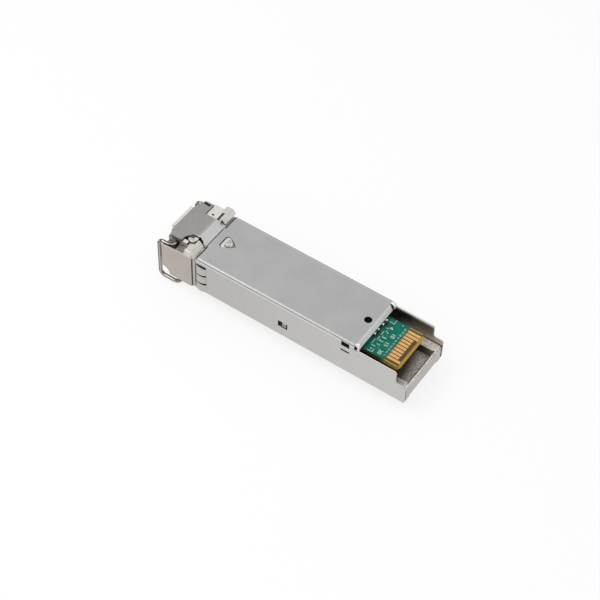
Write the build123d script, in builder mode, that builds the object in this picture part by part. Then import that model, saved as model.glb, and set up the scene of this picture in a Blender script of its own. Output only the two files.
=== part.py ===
from build123d import *
import os

os.makedirs("parts", exist_ok=True)

# A pluggable optical transceiver that lies on its flat back, latch side up.
# X runs along the body, the circuit board end towards +X and the optical ports towards -X.
# Lengths named "reach" are measured from the rear end, heights named "level" from the flat back.

# How far a cut runs past the face that it opens
overcut = 1.0

# Body and cover
body_reach = 47.7
body_width = 13.4
body_height = 8.5
cover_sheet = 0.25
cover_bend = 0.5
cover_setback = 0.2
cover_gap = 0.05
face_reach = 11.4
flange_drop = 1.45
flange_lean = 0.55
flange_width = 11.0
flange_bend = 0.45
curl_width = 0.75
curl_across = 5.7
curl_length = 0.75
curl_level = 7.3
curl_bend = 0.55
wall_level = 7.45
wall_step_reach = 2.15
wall_low_level = 4.6
wall_corner = 0.55

# Cover openings, latch fingers and snap windows
hole_diameter = 1.55
hole_inset = 1.3
snap_window = (2.15, 1.55)
snap_reach = 27.2
snap_level = 3.1
snap_length = 0.85
snap_setback = 0.3
snap_stand = 0.2
snap_play = 0.1
pocket_depth = 0.7
rear_window = (1.65, 1.05)
rear_window_inset = 1.9
rear_window_level = 7.5
slot_window = (1.8, 0.3)
slot_level = 5.65
finger_count = 3
finger_pitch = 2.3
finger_slit = 0.14
finger_slit_root = 0.55
finger_length = 2.5
finger_bulge = 0.4
finger_foot_level = 0.25

# Cast body
cavity_width = 10.6
cavity_front_reach = 46.2
floor_level = 1.3
shoulder_level = 3.25
shoulder_reach = 12.0
recess_width = 9.0
rear_lip = 0.8
label_depth = 0.45
label_width = 9.6
label_front_reach = 45.0
rail_width = 1.2
rear_corner = 0.45
rim_gap = 0.05

# Circuit board
board_reach = 2.9
board_length = 36.6
board_width = 9.2
board_thickness = 1.0
board_level = 5.25
board_clip = 0.6
board_bevel = 0.3
contact_count = 10
contact_pitch = 0.8
contact_width = 0.6
contact_thickness = 0.05
contact_front_reach = 6.1
contact_short = 2.1
contact_long = 2.8
long_upper_contacts = (0, 8, 9)
long_lower_contacts = (0, 3, 6, 9)

# Optical ports and subassemblies
port_pitch = 6.25
port_size = 4.8
port_level = 3.9
port_back = 1.5
key_width = 2.8
key_depth = 1.0
barrel_diameter = 2.9
barrel_bore = 1.6
barrel_play = 0.05
barrel_tip_reach = 51.0
barrel_flange_diameter = 4.2
barrel_flange = 0.8
barrel_body_diameter = 3.6
barrel_body = 1.4
sleeve_wall = 0.17
sleeve_length = 4.2
sleeve_slit = 0.2
stub_length = 0.9
can_diameter = 4.0
can_length = 3.0
can_head = 0.4
can_head_diameter = 4.2
flex_width = 2.4
flex_thickness = 0.12
flex_foot = 1.8
flex_drop = 3.4
flex_bend = 0.5
clamp_thickness = 0.3
clamp_play = 0.1
sleeve_play = 0.01

# Chips and small components on the board
chip_bevel = 0.12
driver_size = (4.0, 4.0, 0.8)
driver_place = (30.5, 2.2)
amplifier_size = (3.0, 3.0, 0.8)
amplifier_place = (31.0, -2.4)
controller_size = (5.0, 5.0, 0.9)
controller_place = (21.0, 0.0)
memory_reach = 30.0
memory_size = (3.0, 4.0)
memory_height = 0.9
lead_rise = 0.1
lead_sheet = 0.15
lead_step = 0.45
lead_pitch = 0.65
lead_count = 4
capacitor_size = (0.8, 1.6, 0.7)
capacitor_places = [(10.8, -0.2), (10.7, 2.5), (14.5, -2.8), (16.5, -2.8), (24.5, 3.2), (35.0, -0.1)]
resistor_size = (0.5, 1.0, 0.35)
resistor_places = [(19.5, -1.2), (21.0, -1.2), (22.5, -1.2), (26.5, -3.4), (26.5, -1.6), (34.5, 3.4)]
inductor_size = (1.6, 2.0, 1.2)
inductor_places = [(15.5, 2.6), (18.8, 2.6)]
bump_reach = 11.0
bump_across = 1.05
bump_radius = 0.35

# Nose: port block, plate and collar
nose_length = 7.7
block_gap = 0.05
block_level = 8.0
lip_width = 6.0
lip_across = 0.7
lip_length = 0.9
lip_height = 0.6
lip_level = 8.4
pocket_level = 6.75
pocket_width = 6.8
pocket_front = 1.0
cheek_width = 1.2
channel_back = 2.8
side_shelf_level = 7.4
corner_cut_width = 1.05
far_block = (2.45, 3.2)
far_block_height = 0.6
far_hole = (0.5, 0.35)
cheek_gap = 0.03
bar_reach = 49.5
bar_across = 3.37
bar_size = (0.4, 1.45)
stop_reach = 51.6
stop_across = 4.22
stop_size = (1.0, 0.76)
bar_height = 0.5
pit_front_reach = 49.4
pit_back_reach = 48.1
pit_width = 1.95
pit_depth = 1.2
plate_level = 8.9
plate_front_width = 7.0
plate_clip = 1.1
plate_near_edge = 4.7
plate_far_edge = 5.3
plate_ear_edge = 6.2
plate_ear_reach = 52.95
plate_recess = 0.6
plate_tongue_width = 6.9
plate_tongue_near_edge = 2.95
plate_ramp = 2.3
plate_ramp_drop = 0.45
plate_recess_back = 1.9
cutout_radius = 2.15
cutout_reach = 50.1
cutout_across = 4.1
cutout_front_reach = 52.85
collar_sheet = 0.25
collar_back = 0.7
collar_front_level = 7.75
collar_rear_level = 8.2
collar_corner = 0.5
collar_cut = 1.7
collar_cut_foot_level = -0.1
tab_level = 9.7
tab_length = 1.4
tab_roof_width = 1.9
tab_stop_width = 3.4
tab_lean = 0.6
tab_foot_level = 8.65
tab_front_level = 7.9
tab_edge = 0.22
tab_hole_diameter = 0.5
tab_hole_level = 8.15

# Bail
wire_diameter = 0.8
bail_gap = 1.85
bail_standoff = 0.85
bail_half_width = 6.05
bail_return = 4.35
bail_pivot_back = 2.0
bail_pivot_level = 7.45
bail_corner = 1.1
bail_leg_end = 2.1
cam_thickness = 0.4
cam_length = 1.1
pin_play = 0.05

# Latch lever
lever_pin_reach = 50.4
lever_pin_level = 7.5
lever_pin_diameter = 0.6
lever_pin_length = 8.8
lever_hub = 0.55
lever_hub_width = 5.6
lever_width = 2.2
lever_thickness = 0.4
lever_level = 7.55
lever_head_width = 6.2
lever_head_length = 1.4
lever_head_level = 7.85
lever_tip_reach = 42.9
boss_front_reach = 45.05
boss_length = 2.15
boss_width = 2.9
boss_corner = 0.4
boss_height = 0.6
boss_inset = 0.38
boss_edge = 0.1
pad_front = 0.6
pad_margin = 0.05
pad_play = 0.1
pad_sink = 0.05
stud_reach = 51.0
stud_across = 2.55
stud_neck_diameter = 1.2
stud_diameter = 2.3
stud_level = 8.1
stud_thickness = 0.32
stud_edge = 0.12
stud_dimple_diameter = 0.5
stud_dimple = 0.15
spring_reach = 48.9
spring_diameter = 1.1
spring_wire = 0.18
spring_wire_sides = 6
spring_seat_level = 5.9
spring_turns = 4
spring_play = 0.1

# Places that follow from the sizes above
nose_reach = body_reach + nose_length
cover_reach = body_reach - cover_setback
hole_reach = face_reach + hole_inset
rear_window_reach = face_reach + rear_window_inset
wire_radius = wire_diameter / 2
bail_front_reach = nose_reach + bail_standoff + wire_radius
bail_rest_level = -(collar_sheet + bail_gap + wire_radius)
bail_pivot_reach = nose_reach - bail_pivot_back
overall_length = bail_front_reach + wire_radius
rear_x = overall_length / 2
back_z = collar_sheet + bail_gap + wire_diameter
half_width = body_width / 2
body_half = half_width - cover_sheet - cover_gap
block_half = half_width - block_gap
board_top = board_level + board_thickness


def along(reach):
    """X of a place at a distance from the rear end."""
    return rear_x - reach


def level(height):
    """Z of a height above the flat back."""
    return back_z + height


def spot(reach, height):
    """A point of a side view, by its reach and its level."""
    return (along(reach), level(height))


def side_plane(y):
    """A side view plane at a distance across, facing the near side."""
    return Plane(origin=(0, y, 0), x_dir=(1, 0, 0), z_dir=(0, -1, 0))


def cross_plane(reach):
    """A plane across the body, facing the optical ports."""
    return Plane(origin=(along(reach), 0, 0), x_dir=(0, -1, 0), z_dir=(-1, 0, 0))


def flat_plane(height):
    """A plane parallel to the flat back."""
    return Plane.XY.offset(level(height))


def boss_outline(margin, lead=0):
    """The latch boss seen from above: a rounded triangle, its flat side to the ports.

    A margin widens it all round, and a lead carries its front further, as the pad's does.
    """
    base = along(boss_front_reach + margin)
    apex = along(boss_front_reach - boss_length - 1.5 * margin)
    half = boss_width / 2 + margin
    right = [(base, half), (base - lead, half - lead / 2)] if lead else [(base, half)]
    left = [(x, -y) for x, y in reversed(right)]
    corner = boss_corner + min(margin, 0) / 2
    return FilletPolyline((apex, 0), *right, *left, radius=corner, close=True)


# Sheet-metal cover: a channel with a stepped rear, a folded flange and spring fingers
with BuildPart() as bottom_cover:
    with BuildSketch(cross_plane(0)):
        with BuildLine():
            top, side = level(body_height), half_width
            FilletPolyline(
                (-side, back_z), (-side, top), (side, top), (side, back_z), radius=cover_bend
            )
            Line((side, back_z), (side - cover_sheet, back_z))
            FilletPolyline(
                (side - cover_sheet, back_z),
                (side - cover_sheet, top - cover_sheet),
                (cover_sheet - side, top - cover_sheet),
                (cover_sheet - side, back_z),
                radius=cover_bend - cover_sheet,
            )
            Line((cover_sheet - side, back_z), (-side, back_z))
        make_face()
    extrude(amount=cover_reach)
    with BuildSketch(side_plane(0)):
        with BuildLine():
            FilletPolyline(
                spot(face_reach, wall_level),
                spot(wall_step_reach, wall_level),
                spot(wall_step_reach, wall_low_level),
                spot(0, wall_low_level),
                spot(0, floor_level),
                radius=wall_corner,
            )
            Polyline(
                spot(0, floor_level),
                spot(-overcut, floor_level),
                spot(-overcut, body_height + overcut),
                spot(face_reach, body_height + overcut),
                spot(face_reach, wall_level),
            )
        make_face()
    extrude(amount=body_width, both=True, mode=Mode.SUBTRACT)
    with BuildSketch(side_plane(0)):
        with BuildLine():
            half_sheet = cover_sheet / 2
            curl_middle = body_height - half_sheet
            FilletPolyline(
                spot(face_reach + rim_gap, curl_middle),
                spot(face_reach - curl_length, curl_middle),
                spot(face_reach - curl_length, curl_level),
                radius=curl_bend,
            )
        trace(line_width=cover_sheet)
    extrude(amount=curl_across + curl_width, both=True)
    with BuildSketch(side_plane(0)):
        with Locations(spot(face_reach, curl_level + body_height / 2)):
            Rectangle(2 * (curl_length + cover_sheet), body_height, align=(Align.MIN, Align.CENTER))
    extrude(amount=curl_across, both=True, mode=Mode.SUBTRACT)
    with BuildSketch(side_plane(0)):
        with BuildLine():
            FilletPolyline(
                spot(face_reach + flange_bend, body_height - half_sheet),
                spot(face_reach, body_height - half_sheet),
                spot(face_reach - flange_lean, body_height - flange_drop),
                radius=flange_bend,
            )
        trace(line_width=cover_sheet)
    extrude(amount=flange_width / 2, both=True)
    with Locations((along(hole_reach), 0, level(body_height))):
        Hole(hole_diameter / 2, depth=2 * cover_sheet)
    with BuildSketch(flat_plane(body_height)):
        with BuildLine():
            boss_outline(pad_margin + pad_play, pad_front + pad_play)
        make_face()
    extrude(amount=-2 * cover_sheet, mode=Mode.SUBTRACT)
    with BuildSketch(side_plane(0)):
        with Locations(spot(snap_reach, snap_level)):
            Rectangle(*snap_window)
        with Locations(spot(rear_window_reach, rear_window_level)):
            Rectangle(*rear_window)
        with Locations(spot(rear_window_reach, slot_level)):
            Rectangle(*slot_window)
    extrude(amount=body_width, both=True, mode=Mode.SUBTRACT)
    finger_reach = cover_reach - finger_length
    finger_height = finger_pitch - finger_slit
    first_finger_level = finger_foot_level + finger_height / 2
    finger_levels = [first_finger_level + i * finger_pitch for i in range(finger_count)]
    with BuildSketch(side_plane(0)):
        for finger_level in finger_levels:
            with Locations(spot(finger_reach + finger_length / 2, finger_level + finger_slit / 2)):
                Rectangle(finger_length, finger_height + finger_slit)
    extrude(amount=body_width, both=True, mode=Mode.SUBTRACT)
    for finger_level in finger_levels:
        with BuildSketch(flat_plane(finger_level)):
            with BuildLine():
                outer_y, inner_y = -half_width, cover_sheet - half_width
                SagittaArc((along(cover_reach), outer_y), (along(finger_reach), outer_y), -finger_bulge)
                Line((along(finger_reach), outer_y), (along(finger_reach), inner_y))
                SagittaArc((along(finger_reach), inner_y), (along(cover_reach), inner_y), finger_bulge)
                Line((along(cover_reach), inner_y), (along(cover_reach), outer_y))
            make_face()
            mirror(about=Plane.XZ)
        extrude(amount=finger_height / 2, both=True)
    with BuildSketch(side_plane(0)):
        for finger_level in finger_levels:
            slit_middle = finger_level + finger_pitch / 2
            with BuildLine():
                Polyline(
                    spot(cover_reach, slit_middle - finger_slit / 2),
                    spot(cover_reach, slit_middle + finger_slit / 2),
                    spot(finger_reach, slit_middle + finger_slit_root / 2),
                    spot(finger_reach, slit_middle - finger_slit_root / 2),
                    close=True,
                )
            make_face()
    extrude(amount=body_width, both=True, mode=Mode.SUBTRACT)
bottom_cover.part.label = "bottom_cover"
export_step(bottom_cover.part, "parts/bottom_cover.step")

# Cast body: an open tray with rails for the board, rear shoulders and a front bulkhead
with BuildPart() as cast_body:
    inner_level = body_height - cover_sheet - rim_gap
    with BuildSketch(cross_plane(0)):
        with Locations((0, level(inner_level / 2))):
            Rectangle(2 * body_half, inner_level)
    extrude(amount=body_reach)
    fillet(cast_body.edges().filter_by(Axis.X).group_by(Axis.Z)[-1], radius=cover_bend - cover_sheet)
    for outward in (1, -1):
        wall_plane = side_plane(-outward * body_half)
        with BuildSketch(wall_plane):
            with Locations(spot(snap_reach, snap_level)):
                Rectangle(*snap_window)
            with Locations(spot(snap_reach - snap_setback, snap_level)):
                Rectangle(snap_length, snap_window[1], mode=Mode.SUBTRACT)
            with Locations(spot(rear_window_reach, rear_window_level)):
                Rectangle(*rear_window)
            with Locations(spot(rear_window_reach, slot_level)):
                Rectangle(*slot_window)
        extrude(amount=-outward * pocket_depth, mode=Mode.SUBTRACT)
        with BuildSketch(wall_plane):
            with Locations(spot(snap_reach - snap_setback, snap_level)):
                Rectangle(snap_length, snap_window[1] - 2 * snap_play)
        extrude(amount=outward * snap_stand)
    with BuildSketch(side_plane(0)):
        with BuildLine():
            Polyline(
                spot(-overcut, shoulder_level),
                spot(shoulder_reach, shoulder_level),
                spot(shoulder_reach, body_height),
                spot(-overcut, body_height),
                close=True,
            )
        make_face()
    extrude(amount=body_width, both=True, mode=Mode.SUBTRACT)
    cavity_middle = (shoulder_reach + cavity_front_reach) / 2
    with BuildSketch(flat_plane(floor_level)):
        with Locations((along((rear_lip + cavity_front_reach) / 2), 0)):
            Rectangle(cavity_front_reach - rear_lip, recess_width - rail_width)
        with Locations((along((rear_lip + shoulder_reach) / 2), 0)):
            Rectangle(shoulder_reach - rear_lip, recess_width)
        with Locations((along((board_reach + board_length + cavity_front_reach) / 2), 0)):
            Rectangle(cavity_front_reach - board_reach - board_length, cavity_width)
    extrude(amount=body_height, mode=Mode.SUBTRACT)
    with BuildSketch(flat_plane(board_level)):
        with Locations((along(cavity_middle), 0)):
            Rectangle(cavity_front_reach - shoulder_reach, cavity_width)
    extrude(amount=body_height, mode=Mode.SUBTRACT)
    with BuildSketch(flat_plane(0)):
        with Locations((along((label_front_reach - overcut) / 2), 0)):
            Rectangle(label_front_reach + overcut, label_width)
    extrude(amount=label_depth, mode=Mode.SUBTRACT)
    with BuildSketch(cross_plane(cavity_front_reach - overcut)):
        with Locations((0, level(port_level))):
            with GridLocations(port_pitch, 0, 2, 1):
                Circle(barrel_diameter / 2 + barrel_play)
    extrude(amount=body_reach, mode=Mode.SUBTRACT)
    with BuildSketch(flat_plane(pocket_level)):
        with Locations((along(body_reach), 0)):
            Rectangle(2 * (body_reach - cavity_front_reach + overcut), lever_hub_width)
    extrude(amount=body_height, mode=Mode.SUBTRACT)
    rear_corners = cast_body.edges().filter_by(Axis.Z).group_by(Axis.X)[-1]
    fillet(rear_corners.group_by(Axis.Y)[0] + rear_corners.group_by(Axis.Y)[-1], radius=rear_corner)
cast_body.part.label = "cast_body"
export_step(cast_body.part, "parts/cast_body.step")

# Port block: two optical ports with key slots, a pocket for the latch and cheeks for its pins
with BuildPart() as port_block:
    with BuildSketch(cross_plane(body_reach)):
        with Locations((0, level(block_level / 2))):
            Rectangle(2 * block_half, block_level)
    extrude(amount=nose_length)
    with BuildSketch(cross_plane(nose_reach)):
        with Locations((-lip_across, level(lip_level - lip_height / 2))):
            Rectangle(lip_width, lip_height)
    extrude(amount=lip_length)
    with BuildSketch(cross_plane(nose_reach)):
        with Locations((-lip_across, level((lip_level - lip_height + pocket_level) / 2))):
            Rectangle(lip_width, lip_level - lip_height - pocket_level)
    extrude(amount=lip_length / 2)
    with BuildSketch(cross_plane(body_reach + port_back)):
        with GridLocations(port_pitch, 0, 2, 1):
            with Locations((0, level(port_level))):
                Rectangle(port_size, port_size)
            with Locations((0, level(port_level - (port_size + key_depth) / 2))):
                Rectangle(key_width, key_depth)
    extrude(amount=nose_length, mode=Mode.SUBTRACT)
    with BuildSketch(cross_plane(body_reach)):
        with Locations((0, level(port_level))):
            with GridLocations(port_pitch, 0, 2, 1):
                Circle(barrel_diameter / 2 + barrel_play)
    extrude(amount=port_back, mode=Mode.SUBTRACT)
    with BuildSketch(flat_plane(pocket_level)):
        with Locations((along((body_reach + nose_reach - pocket_front) / 2), 0)):
            Rectangle(nose_length - pocket_front, pocket_width)
        with Locations((along(nose_reach - channel_back / 2), 0)):
            channel_width = block_half - pocket_width / 2 - cheek_width
            with GridLocations(0, 2 * block_half - channel_width, 1, 2):
                Rectangle(channel_back, channel_width)
    extrude(amount=body_height, mode=Mode.SUBTRACT)
    with BuildSketch(flat_plane(side_shelf_level)):
        shelf_length = nose_length - channel_back
        shelf_y = (pocket_width / 2 + cheek_width + block_half) / 2
        with Locations((along(body_reach + shelf_length / 2), -shelf_y)):
            Rectangle(shelf_length, 2 * (block_half - shelf_y))
    extrude(amount=body_height, mode=Mode.SUBTRACT)
    with BuildSketch(flat_plane(block_level - pit_depth)):
        with Locations((along((pit_front_reach + pit_back_reach) / 2), 0)):
            with GridLocations(0, pocket_width + pit_width, 1, 2):
                Rectangle(pit_front_reach - pit_back_reach, pit_width)
    extrude(amount=body_height, mode=Mode.SUBTRACT)
    with BuildSketch(flat_plane(block_level)):
        far_block_reach = nose_reach - channel_back - cheek_gap - far_block[0] / 2
        far_block_y = block_half - far_block[1] / 2
        with Locations((along(far_block_reach), far_block_y)):
            Rectangle(*far_block)
    extrude(amount=far_block_height)
    with BuildSketch(flat_plane(block_level)):
        with Locations((along(bar_reach), -bar_across)):
            Rectangle(*bar_size)
        with Locations((along(stop_reach), -stop_across)):
            Rectangle(*stop_size)
    extrude(amount=bar_height)
    with BuildSketch(flat_plane(block_level + far_block_height)):
        with Locations((along(far_block_reach), far_block_y - far_block[1] / 4)):
            Rectangle(*far_hole)
    extrude(amount=-far_block_height - pit_depth, mode=Mode.SUBTRACT)
    for outward in (1, -1):
        with BuildSketch(side_plane(-outward * block_half)):
            with Locations(spot(nose_reach, collar_cut_foot_level)):
                Circle(collar_cut)
        extrude(amount=-outward * corner_cut_width, mode=Mode.SUBTRACT)
    with BuildSketch(side_plane(0)):
        with Locations(spot(bail_pivot_reach, bail_pivot_level)):
            Circle(wire_radius + pin_play)
    extrude(amount=body_width, both=True, mode=Mode.SUBTRACT)
    with BuildSketch(side_plane(0)):
        with Locations(spot(lever_pin_reach, lever_pin_level)):
            Circle(lever_pin_diameter / 2 + pin_play)
    extrude(amount=lever_pin_length / 2, both=True, mode=Mode.SUBTRACT)
    with BuildSketch(flat_plane(spring_seat_level)):
        with Locations((along(spring_reach), 0)):
            Circle(spring_diameter / 2 + spring_play)
    extrude(amount=body_height, mode=Mode.SUBTRACT)
port_block.part.label = "port_block"
export_step(port_block.part, "parts/port_block.step")

# Nose plate: a ground plate with a ramp towards the cover, a round cut-out and a clipped corner
with BuildPart() as nose_plate:
    with BuildSketch(side_plane(0)):
        with BuildLine():
            Polyline(
                spot(cover_reach + cover_setback, block_level),
                spot(cover_reach + cover_setback, plate_level - plate_ramp_drop),
                spot(cover_reach + cover_setback + plate_ramp, plate_level),
                spot(nose_reach, plate_level),
                spot(nose_reach, block_level),
                close=True,
            )
        make_face()
    extrude(amount=body_width, both=True)
    with BuildSketch(flat_plane(block_level)):
        with BuildLine():
            ramp_reach = body_reach + plate_ramp
            step_reach = far_block_reach + far_block[0] / 2 + cheek_gap
            step_y = block_half - far_block[1] - cheek_gap
            Polyline(
                (along(nose_reach), -plate_front_width / 2),
                (along(nose_reach), plate_front_width / 2),
                (along(nose_reach - plate_clip / 2), plate_far_edge),
                (along(plate_ear_reach), plate_far_edge),
                (along(plate_ear_reach), plate_ear_edge),
                (along(step_reach), plate_ear_edge),
                (along(step_reach), step_y),
                (along(ramp_reach), step_y),
                (along(ramp_reach), plate_tongue_width / 2),
                (along(body_reach), plate_tongue_width / 2),
                (along(body_reach), -plate_tongue_near_edge),
                (along(cutout_reach), -plate_tongue_near_edge),
                (along(cutout_reach), -cutout_across),
                (along(cutout_front_reach), -plate_near_edge),
                (along(nose_reach - plate_clip / 2), -plate_near_edge),
                close=True,
            )
        make_face()
        with Locations((along(cutout_reach), -cutout_across)):
            Circle(cutout_radius, mode=Mode.SUBTRACT)
    extrude(amount=body_height, mode=Mode.INTERSECT)
    with BuildSketch(flat_plane(block_level)):
        recess_length = nose_reach - pocket_front - plate_recess_back - body_reach
        with Locations((along(body_reach + plate_recess_back + recess_length / 2), 0)):
            Rectangle(recess_length, pocket_width)
    extrude(amount=plate_recess, mode=Mode.SUBTRACT)
nose_plate.part.label = "nose_plate"
export_step(nose_plate.part, "parts/nose_plate.step")

# Collar: a sheet strap under the nose with two side plates and folded stop tabs
with BuildPart() as collar:
    strap_half = half_width + collar_sheet
    collar_reach = body_reach + collar_back
    with BuildSketch(cross_plane(collar_reach)):
        with Locations((0, level((collar_rear_level - collar_sheet) / 2))):
            Rectangle(2 * strap_half, collar_rear_level + collar_sheet)
        with Locations((0, level(collar_rear_level / 2))):
            Rectangle(body_width, collar_rear_level, mode=Mode.SUBTRACT)
    extrude(amount=nose_reach - collar_reach)
    fillet(collar.edges().filter_by(Axis.X).group_by(Axis.Z)[0], radius=collar_sheet)
    with BuildSketch(side_plane(0)):
        with BuildLine():
            FilletPolyline(
                spot(collar_reach, collar_rear_level),
                spot(nose_reach, collar_front_level),
                spot(nose_reach, -collar_sheet),
                radius=collar_corner,
            )
            Polyline(
                spot(nose_reach, -collar_sheet),
                spot(collar_reach, -collar_sheet),
                spot(collar_reach, collar_rear_level),
            )
        make_face()
        with Locations(spot(nose_reach, collar_cut_foot_level)):
            Circle(collar_cut, mode=Mode.SUBTRACT)
    extrude(amount=body_width, both=True, mode=Mode.INTERSECT)
    tab_middle = tab_level - collar_sheet / 2
    tab_fold = collar_reach + collar_sheet / 2
    with BuildSketch(side_plane(-strap_half)):
        with BuildLine():
            FilletPolyline(
                spot(collar_reach, tab_front_level),
                spot(collar_reach, tab_level),
                spot(collar_reach + tab_length, tab_level),
                spot(collar_reach + tab_length, tab_front_level),
                radius=collar_corner,
                close=True,
            )
        make_face()
    extrude(amount=-collar_sheet)
    with BuildSketch(side_plane(-strap_half)):
        with BuildLine():
            Line(spot(collar_reach + tab_length, tab_middle), spot(tab_fold, tab_middle))
        trace(line_width=collar_sheet)
    extrude(amount=-tab_roof_width)
    with BuildSketch(side_plane(-strap_half)):
        with BuildLine():
            FilletPolyline(
                spot(tab_fold + 2 * collar_sheet, tab_middle),
                spot(tab_fold, tab_middle),
                spot(tab_fold - tab_lean, tab_foot_level),
                radius=collar_sheet,
            )
        trace(line_width=collar_sheet)
    extrude(amount=-tab_stop_width)
    outer_top = collar.edges().filter_by(Axis.X).group_by(Axis.Z)[-1].sort_by(Axis.Y)[0]
    fillet(outer_top, radius=tab_edge)
    with BuildSketch(side_plane(-strap_half)):
        with Locations(spot(collar_reach + tab_length, tab_hole_level)):
            Circle(tab_hole_diameter / 2)
    extrude(amount=-collar_sheet, mode=Mode.SUBTRACT)
    mirror(about=Plane.XZ)
collar.part.label = "collar"
export_step(collar.part, "parts/collar.step")

# Bail: one round wire bent through both arms, its two leg ends pressed flat as cams
with BuildPart() as bail:
    with BuildLine() as bail_path:
        handle_reach = bail_front_reach - bail_return
        near_side = [
            (bail_pivot_reach, -bail_leg_end, bail_pivot_level),
            (bail_pivot_reach, -bail_half_width, bail_pivot_level),
            (bail_front_reach, -bail_half_width, bail_pivot_level),
            (bail_front_reach, -bail_half_width, bail_rest_level),
            (handle_reach, -bail_half_width, bail_rest_level),
        ]
        far_side = [(reach, -across, height) for reach, across, height in reversed(near_side)]
        points = [(along(r), y, level(h)) for r, y, h in near_side + far_side]
        FilletPolyline(*points, radius=bail_corner)
    with BuildSketch(Plane(bail_path.line @ 0, z_dir=bail_path.line % 0)):
        Circle(wire_radius)
    sweep(path=bail_path.line)
    with BuildSketch(side_plane(-bail_leg_end)):
        with Locations(spot(bail_pivot_reach, bail_pivot_level)):
            Rectangle(2 * wire_diameter, 2 * wire_diameter)
            Rectangle(2 * wire_diameter, cam_thickness, mode=Mode.SUBTRACT)
    extrude(amount=cam_length, mode=Mode.SUBTRACT)
    with BuildSketch(side_plane(bail_leg_end)):
        with Locations(spot(bail_pivot_reach, bail_pivot_level)):
            Rectangle(2 * wire_diameter, 2 * wire_diameter)
            Rectangle(2 * wire_diameter, cam_thickness, mode=Mode.SUBTRACT)
    extrude(amount=-cam_length, mode=Mode.SUBTRACT)
bail.part.label = "bail"
export_step(bail.part, "parts/bail.step")

# Latch lever: a rocker with a T head over the cams and the latch boss on its long arm
with BuildPart() as latch_lever:
    lever_top = lever_level + lever_thickness
    head_top = lever_head_level + lever_thickness
    head_reach = bail_pivot_reach + wire_radius
    with BuildSketch(side_plane(0)):
        with BuildLine():
            Polyline(
                spot(lever_tip_reach, lever_level),
                spot(lever_tip_reach, lever_top),
                spot(lever_pin_reach - 2 * lever_hub, lever_top),
                spot(lever_pin_reach + 2 * lever_hub, head_top),
                spot(head_reach, head_top),
                spot(head_reach, lever_head_level),
                spot(lever_pin_reach + 2 * lever_hub, lever_head_level),
                spot(lever_pin_reach - lever_hub, lever_level),
                close=True,
            )
        make_face()
    extrude(amount=lever_width / 2, both=True)
    with BuildSketch(flat_plane(lever_head_level)):
        with Locations((along(head_reach - lever_head_length / 2), 0)):
            RectangleRounded(lever_head_length, lever_head_width, lever_thickness / 2)
    extrude(amount=lever_thickness)
    with BuildSketch(side_plane(0)):
        with Locations(spot(lever_pin_reach, lever_pin_level)):
            Circle(lever_hub)
    extrude(amount=lever_hub_width / 2, both=True)
    with BuildSketch(flat_plane(lever_top)):
        with BuildLine():
            boss_outline(pad_margin, pad_front)
        make_face()
    extrude(amount=body_height - pad_sink - lever_top)
    with BuildSketch(flat_plane(body_height - 2 * pad_sink)):
        with BuildLine():
            boss_outline(0)
        make_face()
    with BuildSketch(flat_plane(body_height + boss_height)):
        with BuildLine():
            boss_outline(-boss_inset)
        make_face()
    loft()
    fillet(latch_lever.faces().sort_by(Axis.Z)[-1].edges(), radius=boss_edge)
    with BuildSketch(side_plane(-stud_across)):
        with BuildLine():
            stud_top = stud_level + stud_thickness
            Polyline(
                spot(stud_reach, lever_pin_level),
                spot(stud_reach - stud_neck_diameter / 2, lever_pin_level),
                spot(stud_reach - stud_neck_diameter / 2, stud_level),
                spot(stud_reach - stud_diameter / 2, stud_level),
                spot(stud_reach - stud_diameter / 2, stud_top - stud_edge),
                spot(stud_reach - stud_diameter / 2 + stud_edge, stud_top),
                spot(stud_reach - stud_dimple_diameter / 2, stud_top),
                spot(stud_reach - stud_dimple_diameter / 2, stud_top - stud_dimple),
                spot(stud_reach, stud_top - stud_dimple),
                close=True,
            )
        make_face()
    revolve(axis=Axis((along(stud_reach), -stud_across, 0), (0, 0, 1)))
    with BuildSketch(side_plane(0)):
        with Locations(spot(lever_pin_reach, lever_pin_level)):
            Circle(lever_pin_diameter / 2 + pin_play)
    extrude(amount=lever_hub_width, both=True, mode=Mode.SUBTRACT)
latch_lever.part.label = "latch_lever"
export_step(latch_lever.part, "parts/latch_lever.step")

with BuildPart() as pivot_pin:
    with BuildSketch(side_plane(0)):
        with Locations(spot(lever_pin_reach, lever_pin_level)):
            Circle(lever_pin_diameter / 2)
    extrude(amount=lever_pin_length / 2 - pin_play, both=True)
pivot_pin.part.label = "pivot_pin"
export_step(pivot_pin.part, "parts/pivot_pin.step")

# Latch spring: a small coil between its seat in the block and the lever's underside
with BuildPart() as latch_spring:
    spring_height = lever_level - spring_seat_level - spring_wire
    with BuildLine() as coil:
        Helix(
            pitch=spring_height / spring_turns,
            height=spring_height,
            radius=(spring_diameter - spring_wire) / 2,
            center=(along(spring_reach), 0, level(spring_seat_level + spring_wire / 2)),
        )
    with BuildSketch(Plane(coil.line @ 0, z_dir=coil.line % 0)):
        RegularPolygon(spring_wire / 2, spring_wire_sides)
    sweep(path=coil.line, is_frenet=True)
latch_spring.part.label = "latch_spring"
export_step(latch_spring.part, "parts/latch_spring.step")

# Circuit board with bevelled, clipped edge and its two rows of contacts
with BuildPart() as circuit_board:
    board_end = along(board_reach)
    with BuildSketch(flat_plane(board_level)) as board_outline:
        with Locations((board_end - board_length / 2, 0)):
            Rectangle(board_length, board_width)
        chamfer(board_outline.vertices().group_by(Axis.X)[-1], length=board_clip)
    extrude(amount=board_thickness)
    rear_face = circuit_board.faces().filter_by(Axis.X).sort_by(Axis.X)[-1]
    chamfer(rear_face.edges().filter_by(Axis.Y), length=board_bevel)
circuit_board.part.label = "circuit_board"
export_step(circuit_board.part, "parts/circuit_board.step")

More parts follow.
